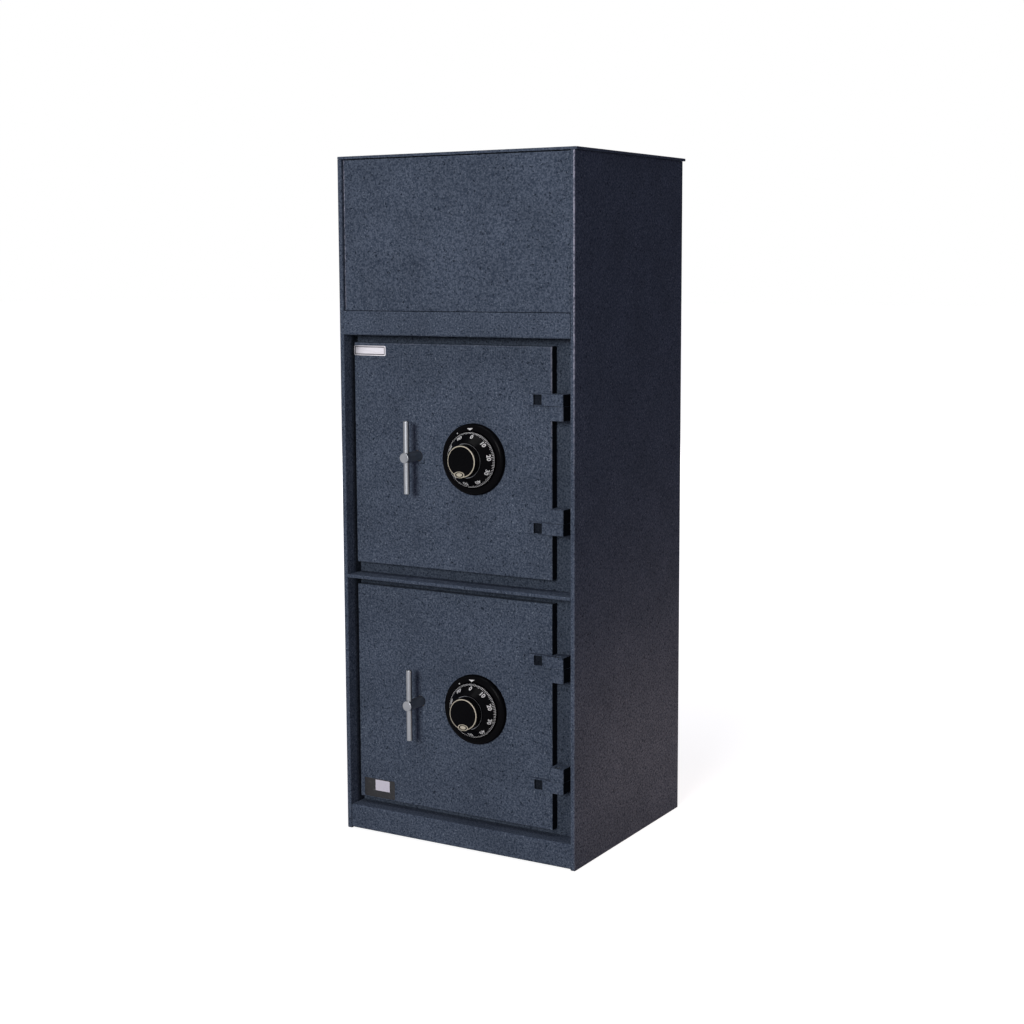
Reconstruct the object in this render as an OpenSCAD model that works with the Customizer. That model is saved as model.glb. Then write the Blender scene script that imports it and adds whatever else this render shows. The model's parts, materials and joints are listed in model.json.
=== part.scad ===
// Free-standing deposit safe: a lift-up hopper lid over two locked compartments.
// Millimetres. Origin on the floor under the middle of the cabinet, +Z up, doors at -Y.

/* [Cabinet] */
// Width over the side walls
cab_w = 366; // [350:1:390]
// Depth over the side walls
cab_d = 320; // [306:1:336]
// Height from the floor to the top of the lid
cab_h = 940; // [925:1:980]
// Thickness of the side, back and floor plates
wall_t = 6.35; // [5:0.05:8]
// Radius of the rounded front edges of the side walls
wall_edge_r = 1.6; // [0.8:0.1:2.4]
// Radius of the lower front corner of the side walls
foot_r = 3; // [1:0.5:6]

/* [Front frames] */
// Height of the top of the toe rail
toe_h = 35; // [30:1:42]
// Gap between the floor and the toe rail
toe_lift = 2.5; // [1:0.5:5]
// Toe rail behind the front edge of the walls
toe_set = 2; // [0:0.5:5]
// Thickness of the toe rail, the header rail and the divider shelf
rail_t = 4.8; // [3.5:0.1:6]
// Outer bend radius of the toe and header rails
rail_bend_r = 2.4; // [1:0.1:3.4]
// Height of the top face of the divider shelf
shelf_z = 366; // [356:1:376]
// Radius of the shelf's front edge
shelf_edge_r = 1.5; // [0.5:0.1:1.7]
// Height of the hopper section, from the header rail's lower edge to the lid's top
hopper_h = 241; // [236:1:248]
// Height of the header rail's face
rail_h = 32.6; // [26:0.1:40]
// Frame plates behind the front edge of the walls
frame_set = 33; // [31:0.5:35]
// Thickness of the frame plates
frame_t = 6.35; // [5:0.05:8]

/* [Hopper] */
// Thickness of the lid
lid_t = 3.8; // [3.2:0.1:6.4]
// Lid behind the front edge of the walls
lid_set = 2.8; // [0:0.1:3.2]
// Lid overhang beyond each side wall
lid_side = 1.7; // [1:0.1:5]
// Lid overhang behind the cabinet
lid_back = 5.8; // [5.7:0.1:10]
// Gap between the closed lid and the walls
lid_gap = 0.3; // [0.2:0.05:0.8]
// Hopper front panel behind the front edge of the walls
panel_set = 3.5; // [2:0.5:5]
// Thickness of the hopper front panel
panel_t = 6.35; // [5:0.05:8]
// Gap beside and below the hopper front panel
panel_gap = 0.6; // [0.4:0.1:2]
// Gap between the hopper front panel and the underside of the lid
panel_top_gap = 1.2; // [0.8:0.1:4]
// Radius of the hopper front panel's upright edges
panel_edge_r = 2.4; // [1:0.1:4.6]
// Thickness of the hopper's end plates, pan and baffle
sheet_t = 2; // [1.5:0.1:3]
// Gap between an end plate and the side wall
end_gap = 2.65; // [1.5:0.05:4]
// Gap between the end plates' round edge and the front panel
end_clear = 1.5; // [1:0.1:4]
// Pan behind the front of the lid hinge pin, measured forwards from the pin
pan_back = 17; // [15:0.5:24]
// Length of the pan's lip
lip_len = 40; // [30:1:50]
// Angle of the pan's lip below level
lip_deg = 30; // [15:1:45]
// Baffle radius beyond the end plates' radius
baffle_step = 39; // [34:1:44]
// Gap between the pan's lip and the baffle
baffle_gap = 5; // [3:0.5:8]
// Angle below level at which the baffle ends
baffle_end = 52; // [46:1:56]
// Radius of a lid hinge knuckle
knuckle_r = 2.6; // [2.4:0.05:2.65]
// Radius of the lid hinge pin
lid_pin_r = 1.3; // [1:0.1:1.5]
// Number of lid hinge knuckles
knuckle_n = 9; // [5:2:13]
// Lid hinge set in from each side of the cabinet
hinge_inset = 15; // [8:1:40]
// Gap between neighbouring knuckles
knuckle_gap = 0.4; // [0.2:0.1:1]
// Thickness of the lid hinge's leaf
leaf_t = 1.5; // [1:0.1:2.5]
// Height of the lid hinge's leaf
leaf_h = 34; // [20:1:60]

/* [Doors] */
// Thickness of a door plate
door_t = 12.7; // [11:0.1:14]
// Gap between a closed door and its frame
door_seat = 2.3; // [1.5:0.1:3]
// Gap between a door and the left wall
door_left_gap = 4.85; // [3.5:0.05:7]
// Frame strip between a door and the right wall
door_right_gap = 36.65; // [34:0.05:42]
// Gap above each door
door_head_gap = 10.6; // [8:0.1:14]
// Gap between the toe rail and the lower door
lower_sill_gap = 9; // [6:0.5:14]
// Gap between the divider shelf and the upper door
upper_sill_gap = 16; // [10:0.5:20]
// Overlap of a door on its frame
door_overlap = 12; // [10:0.5:14]
// Radius of a door's front edges
door_edge_r = 1.5; // [0.5:0.1:3]

/* [Door hinges] */
// Hinge pin beyond the right edge of the door
pin_out = 11; // [10.5:0.1:12]
// Hinge pin in front of the door's face
pin_front = 3.5; // [3:0.1:4.5]
// Radius of a hinge pin
pin_r = 4; // [3:0.1:4.4]
// Hinge block to the right of the pin
block_right = 10.5; // [8:0.1:12]
// Hinge block in front of the pin
block_front = 6; // [5.5:0.1:7]
// Gap between a door's edge and the frame hinge blocks
block_side_gap = 0.8; // [0.6:0.1:2]
// Height of a frame hinge block
block_h = 18.5; // [14:0.5:24]
// Height of a door hinge strap
strap_h = 15.5; // [12:0.5:20]
// Distance from the middle of a hinge pair to each seam
seam_out = 76.2; // [60:0.1:90]
// Upper hinge pair above the upper door's middle
upper_pair_shift = 0; // [-10:0.5:10]
// Lower hinge pair above the lower door's middle
lower_pair_shift = -7; // [-10:0.5:10]
// Reach of a strap's knuckle over the door
knuckle_reach = 6; // [4:0.5:10]
// Reach of a strap over the door
strap_reach = 33; // [28:0.5:60]
// Thickness of a strap on the door's face
strap_t = 6; // [4.5:0.1:7]
// Width of the pocket in a strap
pocket_w = 12; // [8:0.5:14]
// Depth of the pocket in a strap
pocket_d = 3.2; // [1:0.1:4]
// Radius of a hinge block's upright corners
block_edge_r = 2; // [1.4:0.1:3]

/* [Dial] */
// Upper dial and handle above the upper door's middle
upper_lock_rise = 0.8; // [-2:0.1:4]
// Lower dial and handle above the lower door's middle
lower_lock_rise = -2.7; // [-6:0.1:2]
// Distance between the centres of the handle and the dial
dial_from_handle = 90.3; // [87:0.1:94]
// Radius of the dial ring
ring_r = 48.1; // [46:0.1:52]
// Height of the dial ring
ring_h = 7.8; // [7:0.1:12]
// Radius of the dial's graduated edge
dial_r = 37.5; // [35:0.5:39]
// Gap between the dial and its ring
dial_gap = 0.8; // [0.4:0.1:1.5]
// Height of the dial's graduated edge above the door
dial_edge_h = 8.6; // [6.6:0.1:10]
// Height of the foot of the knob above the door
knob_foot_h = 23.3; // [20:0.1:26]
// Radius of the dial at the foot of the knob
dial_top_r = 24.5; // [23.5:0.1:27]
// Radius of the knob
knob_r = 22.5; // [19:0.1:23]
// Height of the knob's face above the door
knob_h = 34.5; // [31:0.1:40]
// Number of grip flutes round the knob
flute_n = 48; // [24:4:60]
// Radius of the dial spindle
dial_spindle_r = 3.8; // [3:0.1:4.2]

/* [Handle] */
// Handle centre from the door's left edge
handle_from_left = 103.6; // [101:0.1:107]
// Radius of the handle spindle
spindle_r = 7; // [6.5:0.1:8]
// Cross rod in front of the door
rod_out = 28.2; // [26:0.1:44]
// Length of the cross rod
rod_len = 99; // [85:0.5:108]
// Radius of the cross rod
rod_r = 4; // [3:0.1:5]
// Spindle nose in front of the cross rod
nose_out = 6.5; // [5.5:0.1:9]

/* [Boltwork] */
// Travel of the locking bolts
bolt_travel = 18; // [14:0.5:18]
// Radius of a locking bolt
bolt_r = 9.5; // [7:0.1:10]
// Bolt centres behind the back of the door
bolt_depth = 19.8; // [18:0.1:21]
// Outer bolts in from the upper and lower edges of the door opening
bolt_end_gap = 53.2; // [49:0.1:72]
// Gap between the drawn bolts and the edge of the door opening
bolt_clear = 4.5; // [4:0.1:7]
// Thickness of the bolt bar
bar_t = 6; // [4:0.1:7]
// Width of the bolt bar's upright
bar_w = 38; // [36:0.5:42]
// Radius of the crank pin
crank_pin_r = 4; // [3:0.1:4.5]
// Slack on each side of the crank pin in its slot
crank_slack = 0.6; // [0.5:0.05:1]
// Thickness of the crank disc
crank_t = 9; // [6:0.1:10]
// Radius of a shoulder post
post_r = 3.5; // [2.5:0.1:4]
// Shoulder posts in from the centres of the outer bolts
post_in = 28; // [20:0.5:30]
// Metal round the ends of the crank pin's slot
slot_wall = 7; // [4:0.5:9]
// Width of the fixed deadbar behind the hinge side
deadbar_w = 38; // [32:0.5:44]
// Ends of the fixed deadbar in from the upper and lower edges of the door opening
deadbar_end_gap = 31.2; // [22:0.1:66]
// Thickness of the deadbar and the bolt guide
angle_t = 6; // [4:0.1:7]

/* [Lock] */
// Width of the lock case
lock_w = 61; // [54:1:66]
// Height of the lock case above the dial
lock_up = 49; // [44:0.5:50]
// Height of the lock case below the dial
lock_down = 36; // [30:0.5:42]
// Depth of the lock case
lock_d = 24.5; // [23:0.1:27]
// Wall of the lock case
lock_wall = 3; // [2:0.1:4]
// Thickness of the lock cover
cover_t = 2.5; // [1.5:0.1:3.5]
// Width of the lock's bolt
lock_bolt_w = 15; // [10:0.5:18]
// Radius of a lock wheel
wheel_r = 20; // [16:0.5:20.5]
// Radius of a lock screw
screw_r = 1.8; // [1.5:0.1:2.2]
// Radius of a lock screw's head
screw_head_r = 3.3; // [2.8:0.1:3.5]
// Height of a lock screw's head
screw_head_h = 2; // [1.5:0.1:3]
// Depth of a lock screw in the case
screw_depth = 10; // [6:0.5:16]
// Number of lock wheels
wheel_n = 3; // [2:1:3]

/* [Anchors] */
// Anchor hole radius
anchor_r = 6.75; // [5:0.05:8]
// Anchor hole spacing across the cabinet
anchor_x = 240; // [200:5:280]
// Anchor hole spacing from front to back
anchor_y = 180; // [140:5:220]

/* [Hidden] */
$fn = 64;

LOWER = 0;
UPPER = 1;
paint = "#444d59";
zinc = "#a9aba9";
steel = "#8f9296";
nickel = "#b3b1ac";
black = "#101114";
brass = "#b08d4c";

// Overlap that a cutting shape runs past the face it cuts
cut = 1;
// Running clearance between a pin and its bore
run_gap = 0.08;
// Clearance between parts that slide or turn past each other
slide_gap = 0.3;

// Cabinet faces
front_y = -cab_d / 2;
back_y = cab_d / 2;
inner_x = cab_w / 2 - wall_t;
inner_back_y = back_y - wall_t;
lid_under_z = cab_h - lid_t;
wall_top_z = lid_under_z - lid_gap;
rail_z = cab_h - hopper_h;
frame_y = front_y + frame_set;
frame_back_y = frame_y + frame_t;
toe_y = front_y + toe_set;

// Hopper geometry about the lid hinge pin
lid_pin_y = back_y + slide_gap + knuckle_r;
lid_pin_z = lid_under_z - slide_gap - knuckle_r;
panel_y = front_y + panel_set;
panel_back_y = panel_y + panel_t;
end_r = lid_pin_y - panel_back_y - end_clear;
baffle_r = end_r + baffle_step;
pan_tip_r = baffle_r - baffle_gap;
pan_drop = sqrt(pow(pan_tip_r, 2) - pow(pan_back + lip_len * cos(lip_deg), 2)) - lip_len * sin(lip_deg);
lid_rise = lid_under_z - lid_pin_z;
end_rear = pan_back - sheet_t - slide_gap;
knuckle_w = (cab_w - 2 * hinge_inset) / knuckle_n;
// Clear space between the upper frame and the baffle above it
frame_top_gap = 3;
upper_frame_top = lid_pin_z - frame_top_gap
    - sqrt(pow(baffle_r + sheet_t, 2) - pow(lid_pin_y - frame_back_y, 2));

// Door geometry, in the frame of at_door()
door_back_y = frame_y - door_seat;
face_y = door_back_y - door_t;
door_x0 = -inner_x + door_left_gap;
door_x1 = inner_x - door_right_gap;
open_x0 = door_x0 + door_overlap;
open_x1 = door_x1 - door_overlap;
handle_x = door_x0 + handle_from_left;
dial_x = handle_x + dial_from_handle;
pin_x = door_x1 + pin_out;
pin_y = face_y - pin_front;
block_x0 = door_x1 + block_side_gap;
block_x1 = pin_x + block_right;
block_front_y = pin_y - block_front;
// Largest reach of a turning knuckle that still clears the frame
knuckle_swing_r = frame_y - slide_gap - pin_y;

function door_z0(u) = u == LOWER ? toe_h + lower_sill_gap : shelf_z + upper_sill_gap;
function door_z1(u) = (u == LOWER ? shelf_z - rail_t : rail_z) - door_head_gap;
function door_mid(u) = (door_z0(u) + door_z1(u)) / 2;
function door_h(u) = door_z1(u) - door_z0(u);
function lock_y(u) = u == LOWER ? lower_lock_rise : upper_lock_rise;
function pair_z(u) = door_mid(u) + (u == LOWER ? lower_pair_shift : upper_pair_shift);
function open_half_h(u) = door_h(u) / 2 - door_overlap;
function outer_bolt_y(u) = open_half_h(u) - bolt_end_gap;
function bar_half_h(u) = outer_bolt_y(u) + bolt_r + bar_past;
function guide_half_h(u) = outer_bolt_y(u) + bolt_r + guide_past;
function post_y(u) = outer_bolt_y(u) - post_in;

// Boltwork, drawn back: crank pin up to the right of the handle, bolts clear of the opening
crank_r = bolt_travel / sqrt(2);
crank_rim = 2;
crank_gap = 1.5;
crank_pin_past = 1.5;
bolt_tip_x = open_x0 + bolt_clear;
bolt_len = 51.5;
bolt_chamfer = 1;
bar_x0 = bolt_tip_x + bolt_len;
bolt_z = -door_t - bolt_depth;
bar_front_z = bolt_z + bar_t / 2;
// Bar and guide past the outer bolts, and the guide behind them
bar_past = 4;
guide_past = 5;
guide_back = 3;
guide_in = 5.5;
guide_x = bolt_tip_x + guide_in;
guide_foot_w = 26;
guide_depth = bolt_depth + bolt_r + guide_back;
bush_wall = 2.5;
// Door metal left in front of the bush
bush_lip = 2;
bush_flange_t = 2;
bush_flange_w = 3;
crank_front_z = -door_t - bush_flange_t - crank_gap;
crank_back_z = crank_front_z - crank_t;
post_in_bar = 8.5;
post_x = bar_x0 + post_in_bar;
post_head_t = 2.5;
spacer_wall = 2.5;
lock_arm_gap = 3;
lock_arm_h = 14;
notch_h = 9;
notch_gap = 1;
slot_end_gap = 1;
tab_wall = 6;
arm_past = 10;
spacer_r = post_r + spacer_wall;
deadbar_leg_t = 8;
deadbar_in = 2;

// Lock depths, measured outwards from the door's face
case_back_z = -door_t - lock_d;
lock_bolt_t = 8;
lock_bolt_gap = 3;
wheel_post_wall = 2.2;
wheel_post_r = dial_spindle_r + wheel_post_wall;
wheel_t = 2;
wheel_pitch = 3.2;
wheel_gap = 1;
gate_w = 4;
first_gate_deg = 40;
gate_step_deg = 75;
cam_t = 3;
cam_r = wheel_r - 2;
cam_gap = 1.2;
cam_gate_w = 5;
screw_boss_r = 4;
screw_in = 2.5;

// Dial details
ring_floor = 2;
ring_chamfer = 1;
dial_bore_r = dial_spindle_r + 2;
wheel_bevel = 0.5;
knob_rim_h = 3.5;
knob_rim_proud = 0.4;
knob_round = 1.5;
flute_d = 0.5;
spindle_in_knob = 5;

// Handle details
nose_z = rod_out + nose_out;
nose_round = 1;
rod_round = 1;

// Hinge details
pocket_in = 9;
pocket_wall = 1.5;
pin_set = 1;

function arc(r, a0, a1, n, c = [0, 0]) =
    [for (i = [0 : n]) c + r * [cos(a0 + (a1 - a0) * i / n), sin(a0 + (a1 - a0) * i / n)]];

// Puts its children on a door: X across, Y up from mid-height, Z out of the door's face
module at_door(u) translate([0, face_y, door_mid(u)]) rotate([90, 0, 0]) children();

// Puts its children on the axis of a door's dial
module at_dial(u) at_door(u) translate([dial_x, lock_y(u), 0]) children();

// Puts its children on the axis of a door's handle
module at_handle(u) at_door(u) translate([handle_x, lock_y(u), 0]) children();

// Puts its children in the plane of the lid's swing: X backwards and Y up from the lid hinge pin,
// and Z across the cabinet from its middle
module at_lid_pin() translate([0, lid_pin_y, lid_pin_z]) rotate([90, 0, 90]) children();

// Extrudes an outline along X, both ways from the middle of the cabinet; outline X is the
// frame's Y and outline Y is the frame's Z
module across(width) translate([-width / 2, 0, 0]) rotate([90, 0, 90]) linear_extrude(width) children();

// Rectangle from [0, 0] with the corners on its low Y side rounded
module front_rounded(w, d, r) {
    translate([0, r]) square([w, d - r]);
    translate([r, 0]) square([w - 2 * r, d]);
    intersection() {
        union() {
            translate([r, r]) circle(r);
            translate([w - r, r]) circle(r);
        }
        square([w, d]);
    }
}

module slot(x0, x1, y, r) {
    translate([x0, y - r]) square([x1 - x0, 2 * r]);
    translate([x0, y]) circle(r);
    translate([x1, y]) circle(r);
}

// Side wall with rounded front edges and a rounded lower front corner
module side_wall() {
    intersection() {
        linear_extrude(wall_top_z) front_rounded(wall_t, cab_d, wall_edge_r);
        rotate([90, 0, 90]) linear_extrude(wall_t) {
            translate([0, foot_r]) square([cab_d, wall_top_z - foot_r]);
            translate([foot_r, 0]) square([cab_d - foot_r, wall_top_z]);
            translate([foot_r, foot_r]) circle(foot_r);
        }
    }
}

module left_wall() color(paint) translate([-cab_w / 2, front_y, 0]) side_wall();

module right_wall() color(paint) translate([inner_x, front_y, 0]) side_wall();

module back_panel() color(paint)
    translate([-inner_x, inner_back_y, 0]) cube([2 * inner_x, wall_t, wall_top_z]);

module floor_plate() color(paint) difference() {
    translate([-inner_x, toe_y + rail_t, 0])
        cube([2 * inner_x, inner_back_y - toe_y - rail_t, wall_t]);
    for (x = [-1, 1] * anchor_x / 2, y = [-1, 1] * anchor_y / 2)
        translate([x, y, -cut]) cylinder(r = anchor_r, h = wall_t + 2 * cut);
}

// Bent angle: a face from y0, z0 to z1 and a flange back to y1 at one edge of the face.
// The flange is at the top when flange_up is true
module bent_rail(y0, y1, z0, z1, flange_up) {
    bend_z = flange_up ? z1 - rail_bend_r : z0 + rail_bend_r;
    face_z0 = flange_up ? z0 : bend_z;
    flange_z = flange_up ? z1 - rail_t : z0;
    across(2 * inner_x) {
        translate([y0, face_z0]) square([rail_t, z1 - z0 - rail_bend_r]);
        translate([y0 + rail_bend_r, flange_z]) square([y1 - y0 - rail_bend_r, rail_t]);
        translate([y0 + rail_bend_r, bend_z]) circle(rail_bend_r);
    }
}

module toe_rail() color(paint) bent_rail(toe_y, frame_y, toe_lift, toe_h, true);

module header_rail() color(paint) bent_rail(front_y, frame_y, rail_z, rail_z + rail_h, false);

// Frame plate with the door opening, from z0 to z1
module door_frame(u, z0, z1) {
    difference() {
        translate([-inner_x, frame_y, z0]) cube([2 * inner_x, frame_t, z1 - z0]);
        translate([open_x0, frame_y - cut, door_z0(u) + door_overlap])
            cube([open_x1 - open_x0, frame_t + 2 * cut, door_h(u) - 2 * door_overlap]);
    }
}

module lower_door_frame() color(paint) door_frame(LOWER, wall_t, shelf_z - rail_t);

module upper_door_frame() color(paint) door_frame(UPPER, shelf_z, upper_frame_top);

module divider_shelf() color(paint) across(2 * inner_x) {
    under_z = shelf_z - rail_t;
    translate([front_y + shelf_edge_r, under_z])
        square([inner_back_y - front_y - shelf_edge_r, rail_t]);
    translate([front_y, under_z + shelf_edge_r]) square([shelf_edge_r, rail_t - 2 * shelf_edge_r]);
    for (z = [shelf_z - shelf_edge_r, under_z + shelf_edge_r])
        translate([front_y + shelf_edge_r, z]) circle(shelf_edge_r);
}

module hopper_front_panel() color(paint)
    translate([-inner_x + panel_gap, panel_y, rail_z + rail_h + panel_gap])
        linear_extrude(lid_under_z - panel_top_gap - rail_z - rail_h - panel_gap)
            front_rounded(2 * (inner_x - panel_gap), panel_t, panel_edge_r);

// Curved apron that the pan's lip sweeps past, from behind the front panel down to baffle_end
module deposit_baffle() color(paint) difference() {
    at_lid_pin() translate([0, 0, -inner_x]) rotate([0, 0, 180])
        rotate_extrude(angle = baffle_end, $fn = 256)
            translate([baffle_r, 0]) square([sheet_t, 2 * inner_x]);
    translate([-cab_w, front_y - cab_d, 0])
        cube([2 * cab_w, panel_back_y + slide_gap - front_y + cab_d, cab_h]);
}

// One knuckle of the lid hinge, by its number from the left, as a solid without its bore
module knuckle(i) {
    translate([-cab_w / 2 + hinge_inset + i * knuckle_w + knuckle_gap / 2, lid_pin_y, lid_pin_z])
        rotate([0, 90, 0]) cylinder(r = knuckle_r, h = knuckle_w - knuckle_gap);
}

module knuckle_block(i, y0, y1, z0, z1) {
    translate([-cab_w / 2 + hinge_inset + i * knuckle_w + knuckle_gap / 2, y0, z0])
        cube([knuckle_w - knuckle_gap, y1 - y0, z1 - z0]);
}

module hinge_line(r) {
    translate([-cab_w / 2, lid_pin_y, lid_pin_z]) rotate([0, 90, 0]) cylinder(r = r, h = cab_w);
}

module lid_hinge_leaf() color(zinc) difference() {
    union() {
        translate([-cab_w / 2 + hinge_inset, back_y, lid_pin_z - leaf_h])
            cube([cab_w - 2 * hinge_inset, leaf_t, leaf_h - knuckle_r - slide_gap]);
        for (i = [0 : 2 : knuckle_n - 1]) {
            knuckle(i);
            knuckle_block(i, back_y, back_y + leaf_t, lid_pin_z - leaf_h, lid_pin_z);
        }
    }
    hinge_line(lid_pin_r);
}

module lid_hinge_barrels() color(zinc) difference() {
    for (i = [1 : 2 : knuckle_n - 1]) {
        knuckle(i);
        knuckle_block(i, back_y + slide_gap, lid_pin_y + knuckle_r, lid_pin_z, lid_under_z);
    }
    hinge_line(lid_pin_r + run_gap);
}

module lid_hinge_pin() color(steel)
    translate([-cab_w / 2 + hinge_inset, lid_pin_y, lid_pin_z]) rotate([0, 90, 0])
        cylinder(r = lid_pin_r, h = cab_w - 2 * hinge_inset);

module hopper_lid() color(paint)
    translate([-cab_w / 2 - lid_side, front_y + lid_set, lid_under_z])
        cube([cab_w + 2 * lid_side, cab_d - lid_set + lid_back, lid_t]);

// Two quarter-round end plates that close the sides of the open hopper
module hopper_end_plates() color(zinc) at_lid_pin()
    for (x = [-inner_x + end_gap, inner_x - end_gap - sheet_t]) translate([0, 0, x])
        intersection() {
            cylinder(r = end_r, h = sheet_t, $fn = 128);
            translate([-end_r, -end_r, 0]) cube([end_r - end_rear, end_r + lid_rise, sheet_t]);
        }

// Bent pan: upright behind the throat when the lid is shut, a floor with a raised lip when it is open
module hopper_pan() color(zinc) at_lid_pin() {
    half = inner_x - end_gap - sheet_t;
    bend = [-pan_back, -pan_drop];
    lip_end = bend - lip_len * [cos(lip_deg), sin(lip_deg)];
    translate([0, 0, -half]) linear_extrude(2 * half) polygon([
        [-pan_back, lid_rise],
        bend,
        lip_end,
        lip_end + sheet_t * [-sin(lip_deg), cos(lip_deg)],
        bend + sheet_t * [-1, (1 - sin(lip_deg)) / cos(lip_deg)],
        [-pan_back - sheet_t, lid_rise]
    ]);
}

// Frame blocks lie between the two straps of a door, straps outside them
module frame_hinge_blocks() color(paint) difference() {
    for (u = [LOWER, UPPER], side = [-1, 1])
        translate([block_x0, block_front_y, pair_z(u) + side * (seam_out - block_h / 2) - block_h / 2])
            linear_extrude(block_h)
                front_rounded(block_x1 - block_x0, frame_y - block_front_y, block_edge_r);
    for (u = [LOWER, UPPER])
        translate([pin_x, pin_y, door_z0(u)]) cylinder(r = pin_r, h = door_h(u));
}

module door_hinge_pins() color(steel) for (u = [LOWER, UPPER], side = [-1, 1])
    translate([pin_x, pin_y, pair_z(u) + side * (seam_out + (strap_h - block_h) / 2)])
        cylinder(r = pin_r, h = block_h + strap_h - pin_set, center = true);

// Straps welded to the door's face, with a knuckle that turns past the frame on its rounded corner
module hinge_straps(u) color(paint) for (side = [-1, 1])
    translate([0, 0, pair_z(u) + side * (seam_out + slide_gap + strap_h / 2) - strap_h / 2]) difference() {
        linear_extrude(strap_h) {
            // Knuckle over the edge of the door
            translate([door_x1 - knuckle_reach, block_front_y])
                front_rounded(block_x1 - door_x1 + knuckle_reach, face_y - block_front_y, block_edge_r);
            intersection() {
                translate([door_x1, block_front_y + block_edge_r])
                    square([block_x1 - door_x1, frame_y - block_front_y]);
                translate([pin_x, pin_y]) circle(knuckle_swing_r, $fn = 96);
            }
            // Flat strap on the door
            translate([door_x1 - strap_reach, face_y - strap_t]) square([strap_reach, strap_t]);
        }
        translate([door_x1 - strap_reach + pocket_in, face_y - strap_t - cut, pocket_wall])
            cube([pocket_w, pocket_d + cut, strap_h - 2 * pocket_wall]);
        translate([pin_x, pin_y, -cut]) cylinder(r = pin_r + run_gap, h = strap_h + 2 * cut);
    }

// Door plate with rounded front edges and bores for the handle and the dial spindle
module door_plate(u) color(paint) difference() {
    intersection() {
        translate([door_x0, face_y, door_z0(u)])
            linear_extrude(door_h(u)) front_rounded(door_x1 - door_x0, door_t, door_edge_r);
        translate([door_x0, face_y, door_z0(u)]) rotate([90, 0, 90]) linear_extrude(door_x1 - door_x0) {
            translate([0, door_edge_r]) square([door_t, door_h(u) - 2 * door_edge_r]);
            translate([door_edge_r, 0]) square([door_t - door_edge_r, door_h(u)]);
            for (z = [door_edge_r, door_h(u) - door_edge_r])
                translate([door_edge_r, z]) circle(door_edge_r);
        }
    }
    at_handle(u) translate([0, 0, -door_t - cut]) {
        cylinder(r = spindle_r + slide_gap, h = door_t + 2 * cut);
        cylinder(r = spindle_r + run_gap + bush_wall, h = door_t - bush_lip + cut);
    }
    at_dial(u) translate([0, 0, -door_t - cut]) cylinder(r = dial_bore_r, h = door_t + 2 * cut);
}

// Dish on the door that the dial turns in
module dial_ring(u) color(black) at_dial(u) {
    well_r = dial_r + dial_gap;
    rotate_extrude() polygon(concat(
        [[dial_bore_r, 0], [ring_r, 0], [ring_r, ring_h / 3]],
        arc(ring_h * 2 / 3, 20, 80, 6, [ring_r - ring_h * 2 / 3, ring_h / 3]),
        [[well_r + ring_chamfer, ring_h], [well_r, ring_h - ring_chamfer]],
        [[well_r, ring_floor], [dial_bore_r, ring_floor]]
    ));
}

// Cone that carries the scale
module dial_wheel(u) color(black) at_dial(u)
    rotate_extrude() polygon([
        [dial_spindle_r, ring_floor + slide_gap],
        [dial_r, ring_floor + slide_gap],
        [dial_r, dial_edge_h],
        [dial_r - wheel_bevel, dial_edge_h + wheel_bevel],
        [dial_top_r, knob_foot_h],
        [dial_spindle_r, knob_foot_h]
    ]);

// Knob with a fluted grip under a plain rim
module dial_knob(u) color(black) at_dial(u) {
    rim_h = knob_h - knob_rim_h;
    step = 360 / flute_n;
    grip_r = knob_r - knob_rim_proud;
    difference() {
        union() {
            translate([0, 0, knob_foot_h]) linear_extrude(rim_h - knob_foot_h)
                polygon([for (i = [0 : 2 * flute_n - 1])
                    (grip_r - (i % 2) * flute_d) * [cos(i * step / 2), sin(i * step / 2)]]);
            rotate_extrude() polygon(concat(
                [[0, rim_h], [knob_r, rim_h], [knob_r, knob_h - knob_round]],
                arc(knob_round, 0, 90, 5, [knob_r - knob_round, knob_h - knob_round]),
                [[0, knob_h]]
            ));
        }
        translate([0, 0, knob_foot_h - cut]) cylinder(r = dial_spindle_r, h = spindle_in_knob + cut);
    }
}

// Spindle from the knob to the drive cam inside the lock
module dial_spindle(u) color(brass) at_dial(u) {
    cam_z = case_back_z + cam_gap;
    translate([0, 0, cam_z]) cylinder(r = dial_spindle_r, h = knob_foot_h + spindle_in_knob - cam_z);
    difference() {
        translate([0, 0, cam_z]) cylinder(r = cam_r, h = cam_t);
        translate([-cam_gate_w / 2, cam_r - cam_gate_w, cam_z - cut])
            cube([cam_gate_w, cam_gate_w + cut, cam_t + 2 * cut]);
    }
}

// Open-backed lock case with the post that the wheels turn on
module lock_case(u) color(zinc) at_dial(u) {
    inner_w = lock_w - 2 * lock_wall;
    inner_h = lock_up + lock_down - 2 * lock_wall;
    floor_z = -door_t - lock_wall;
    difference() {
        union() {
            difference() {
                translate([-lock_w / 2, -lock_down, case_back_z])
                    cube([lock_w, lock_up + lock_down, lock_d]);
                translate([-inner_w / 2, -lock_down + lock_wall, case_back_z - cut])
                    cube([inner_w, inner_h, lock_d - lock_wall + cut]);
            }
            translate([0, 0, floor_z - wheel_n * wheel_pitch - wheel_gap])
                cylinder(r = wheel_post_r, h = wheel_n * wheel_pitch + wheel_gap);
            lock_corners() translate([0, 0, case_back_z])
                cylinder(r = screw_boss_r, h = lock_d - lock_wall);
        }
        translate([0, 0, case_back_z - cut]) cylinder(r = dial_spindle_r + run_gap, h = lock_d + 2 * cut);
        translate([-lock_bolt_w / 2, lock_up - lock_wall - cut, bolt_z - lock_bolt_t / 2])
            cube([lock_bolt_w, lock_wall + 2 * cut, lock_bolt_t]);
        lock_corners() translate([0, 0, case_back_z - cut]) cylinder(r = screw_r, h = screw_depth + cut);
    }
}

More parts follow.
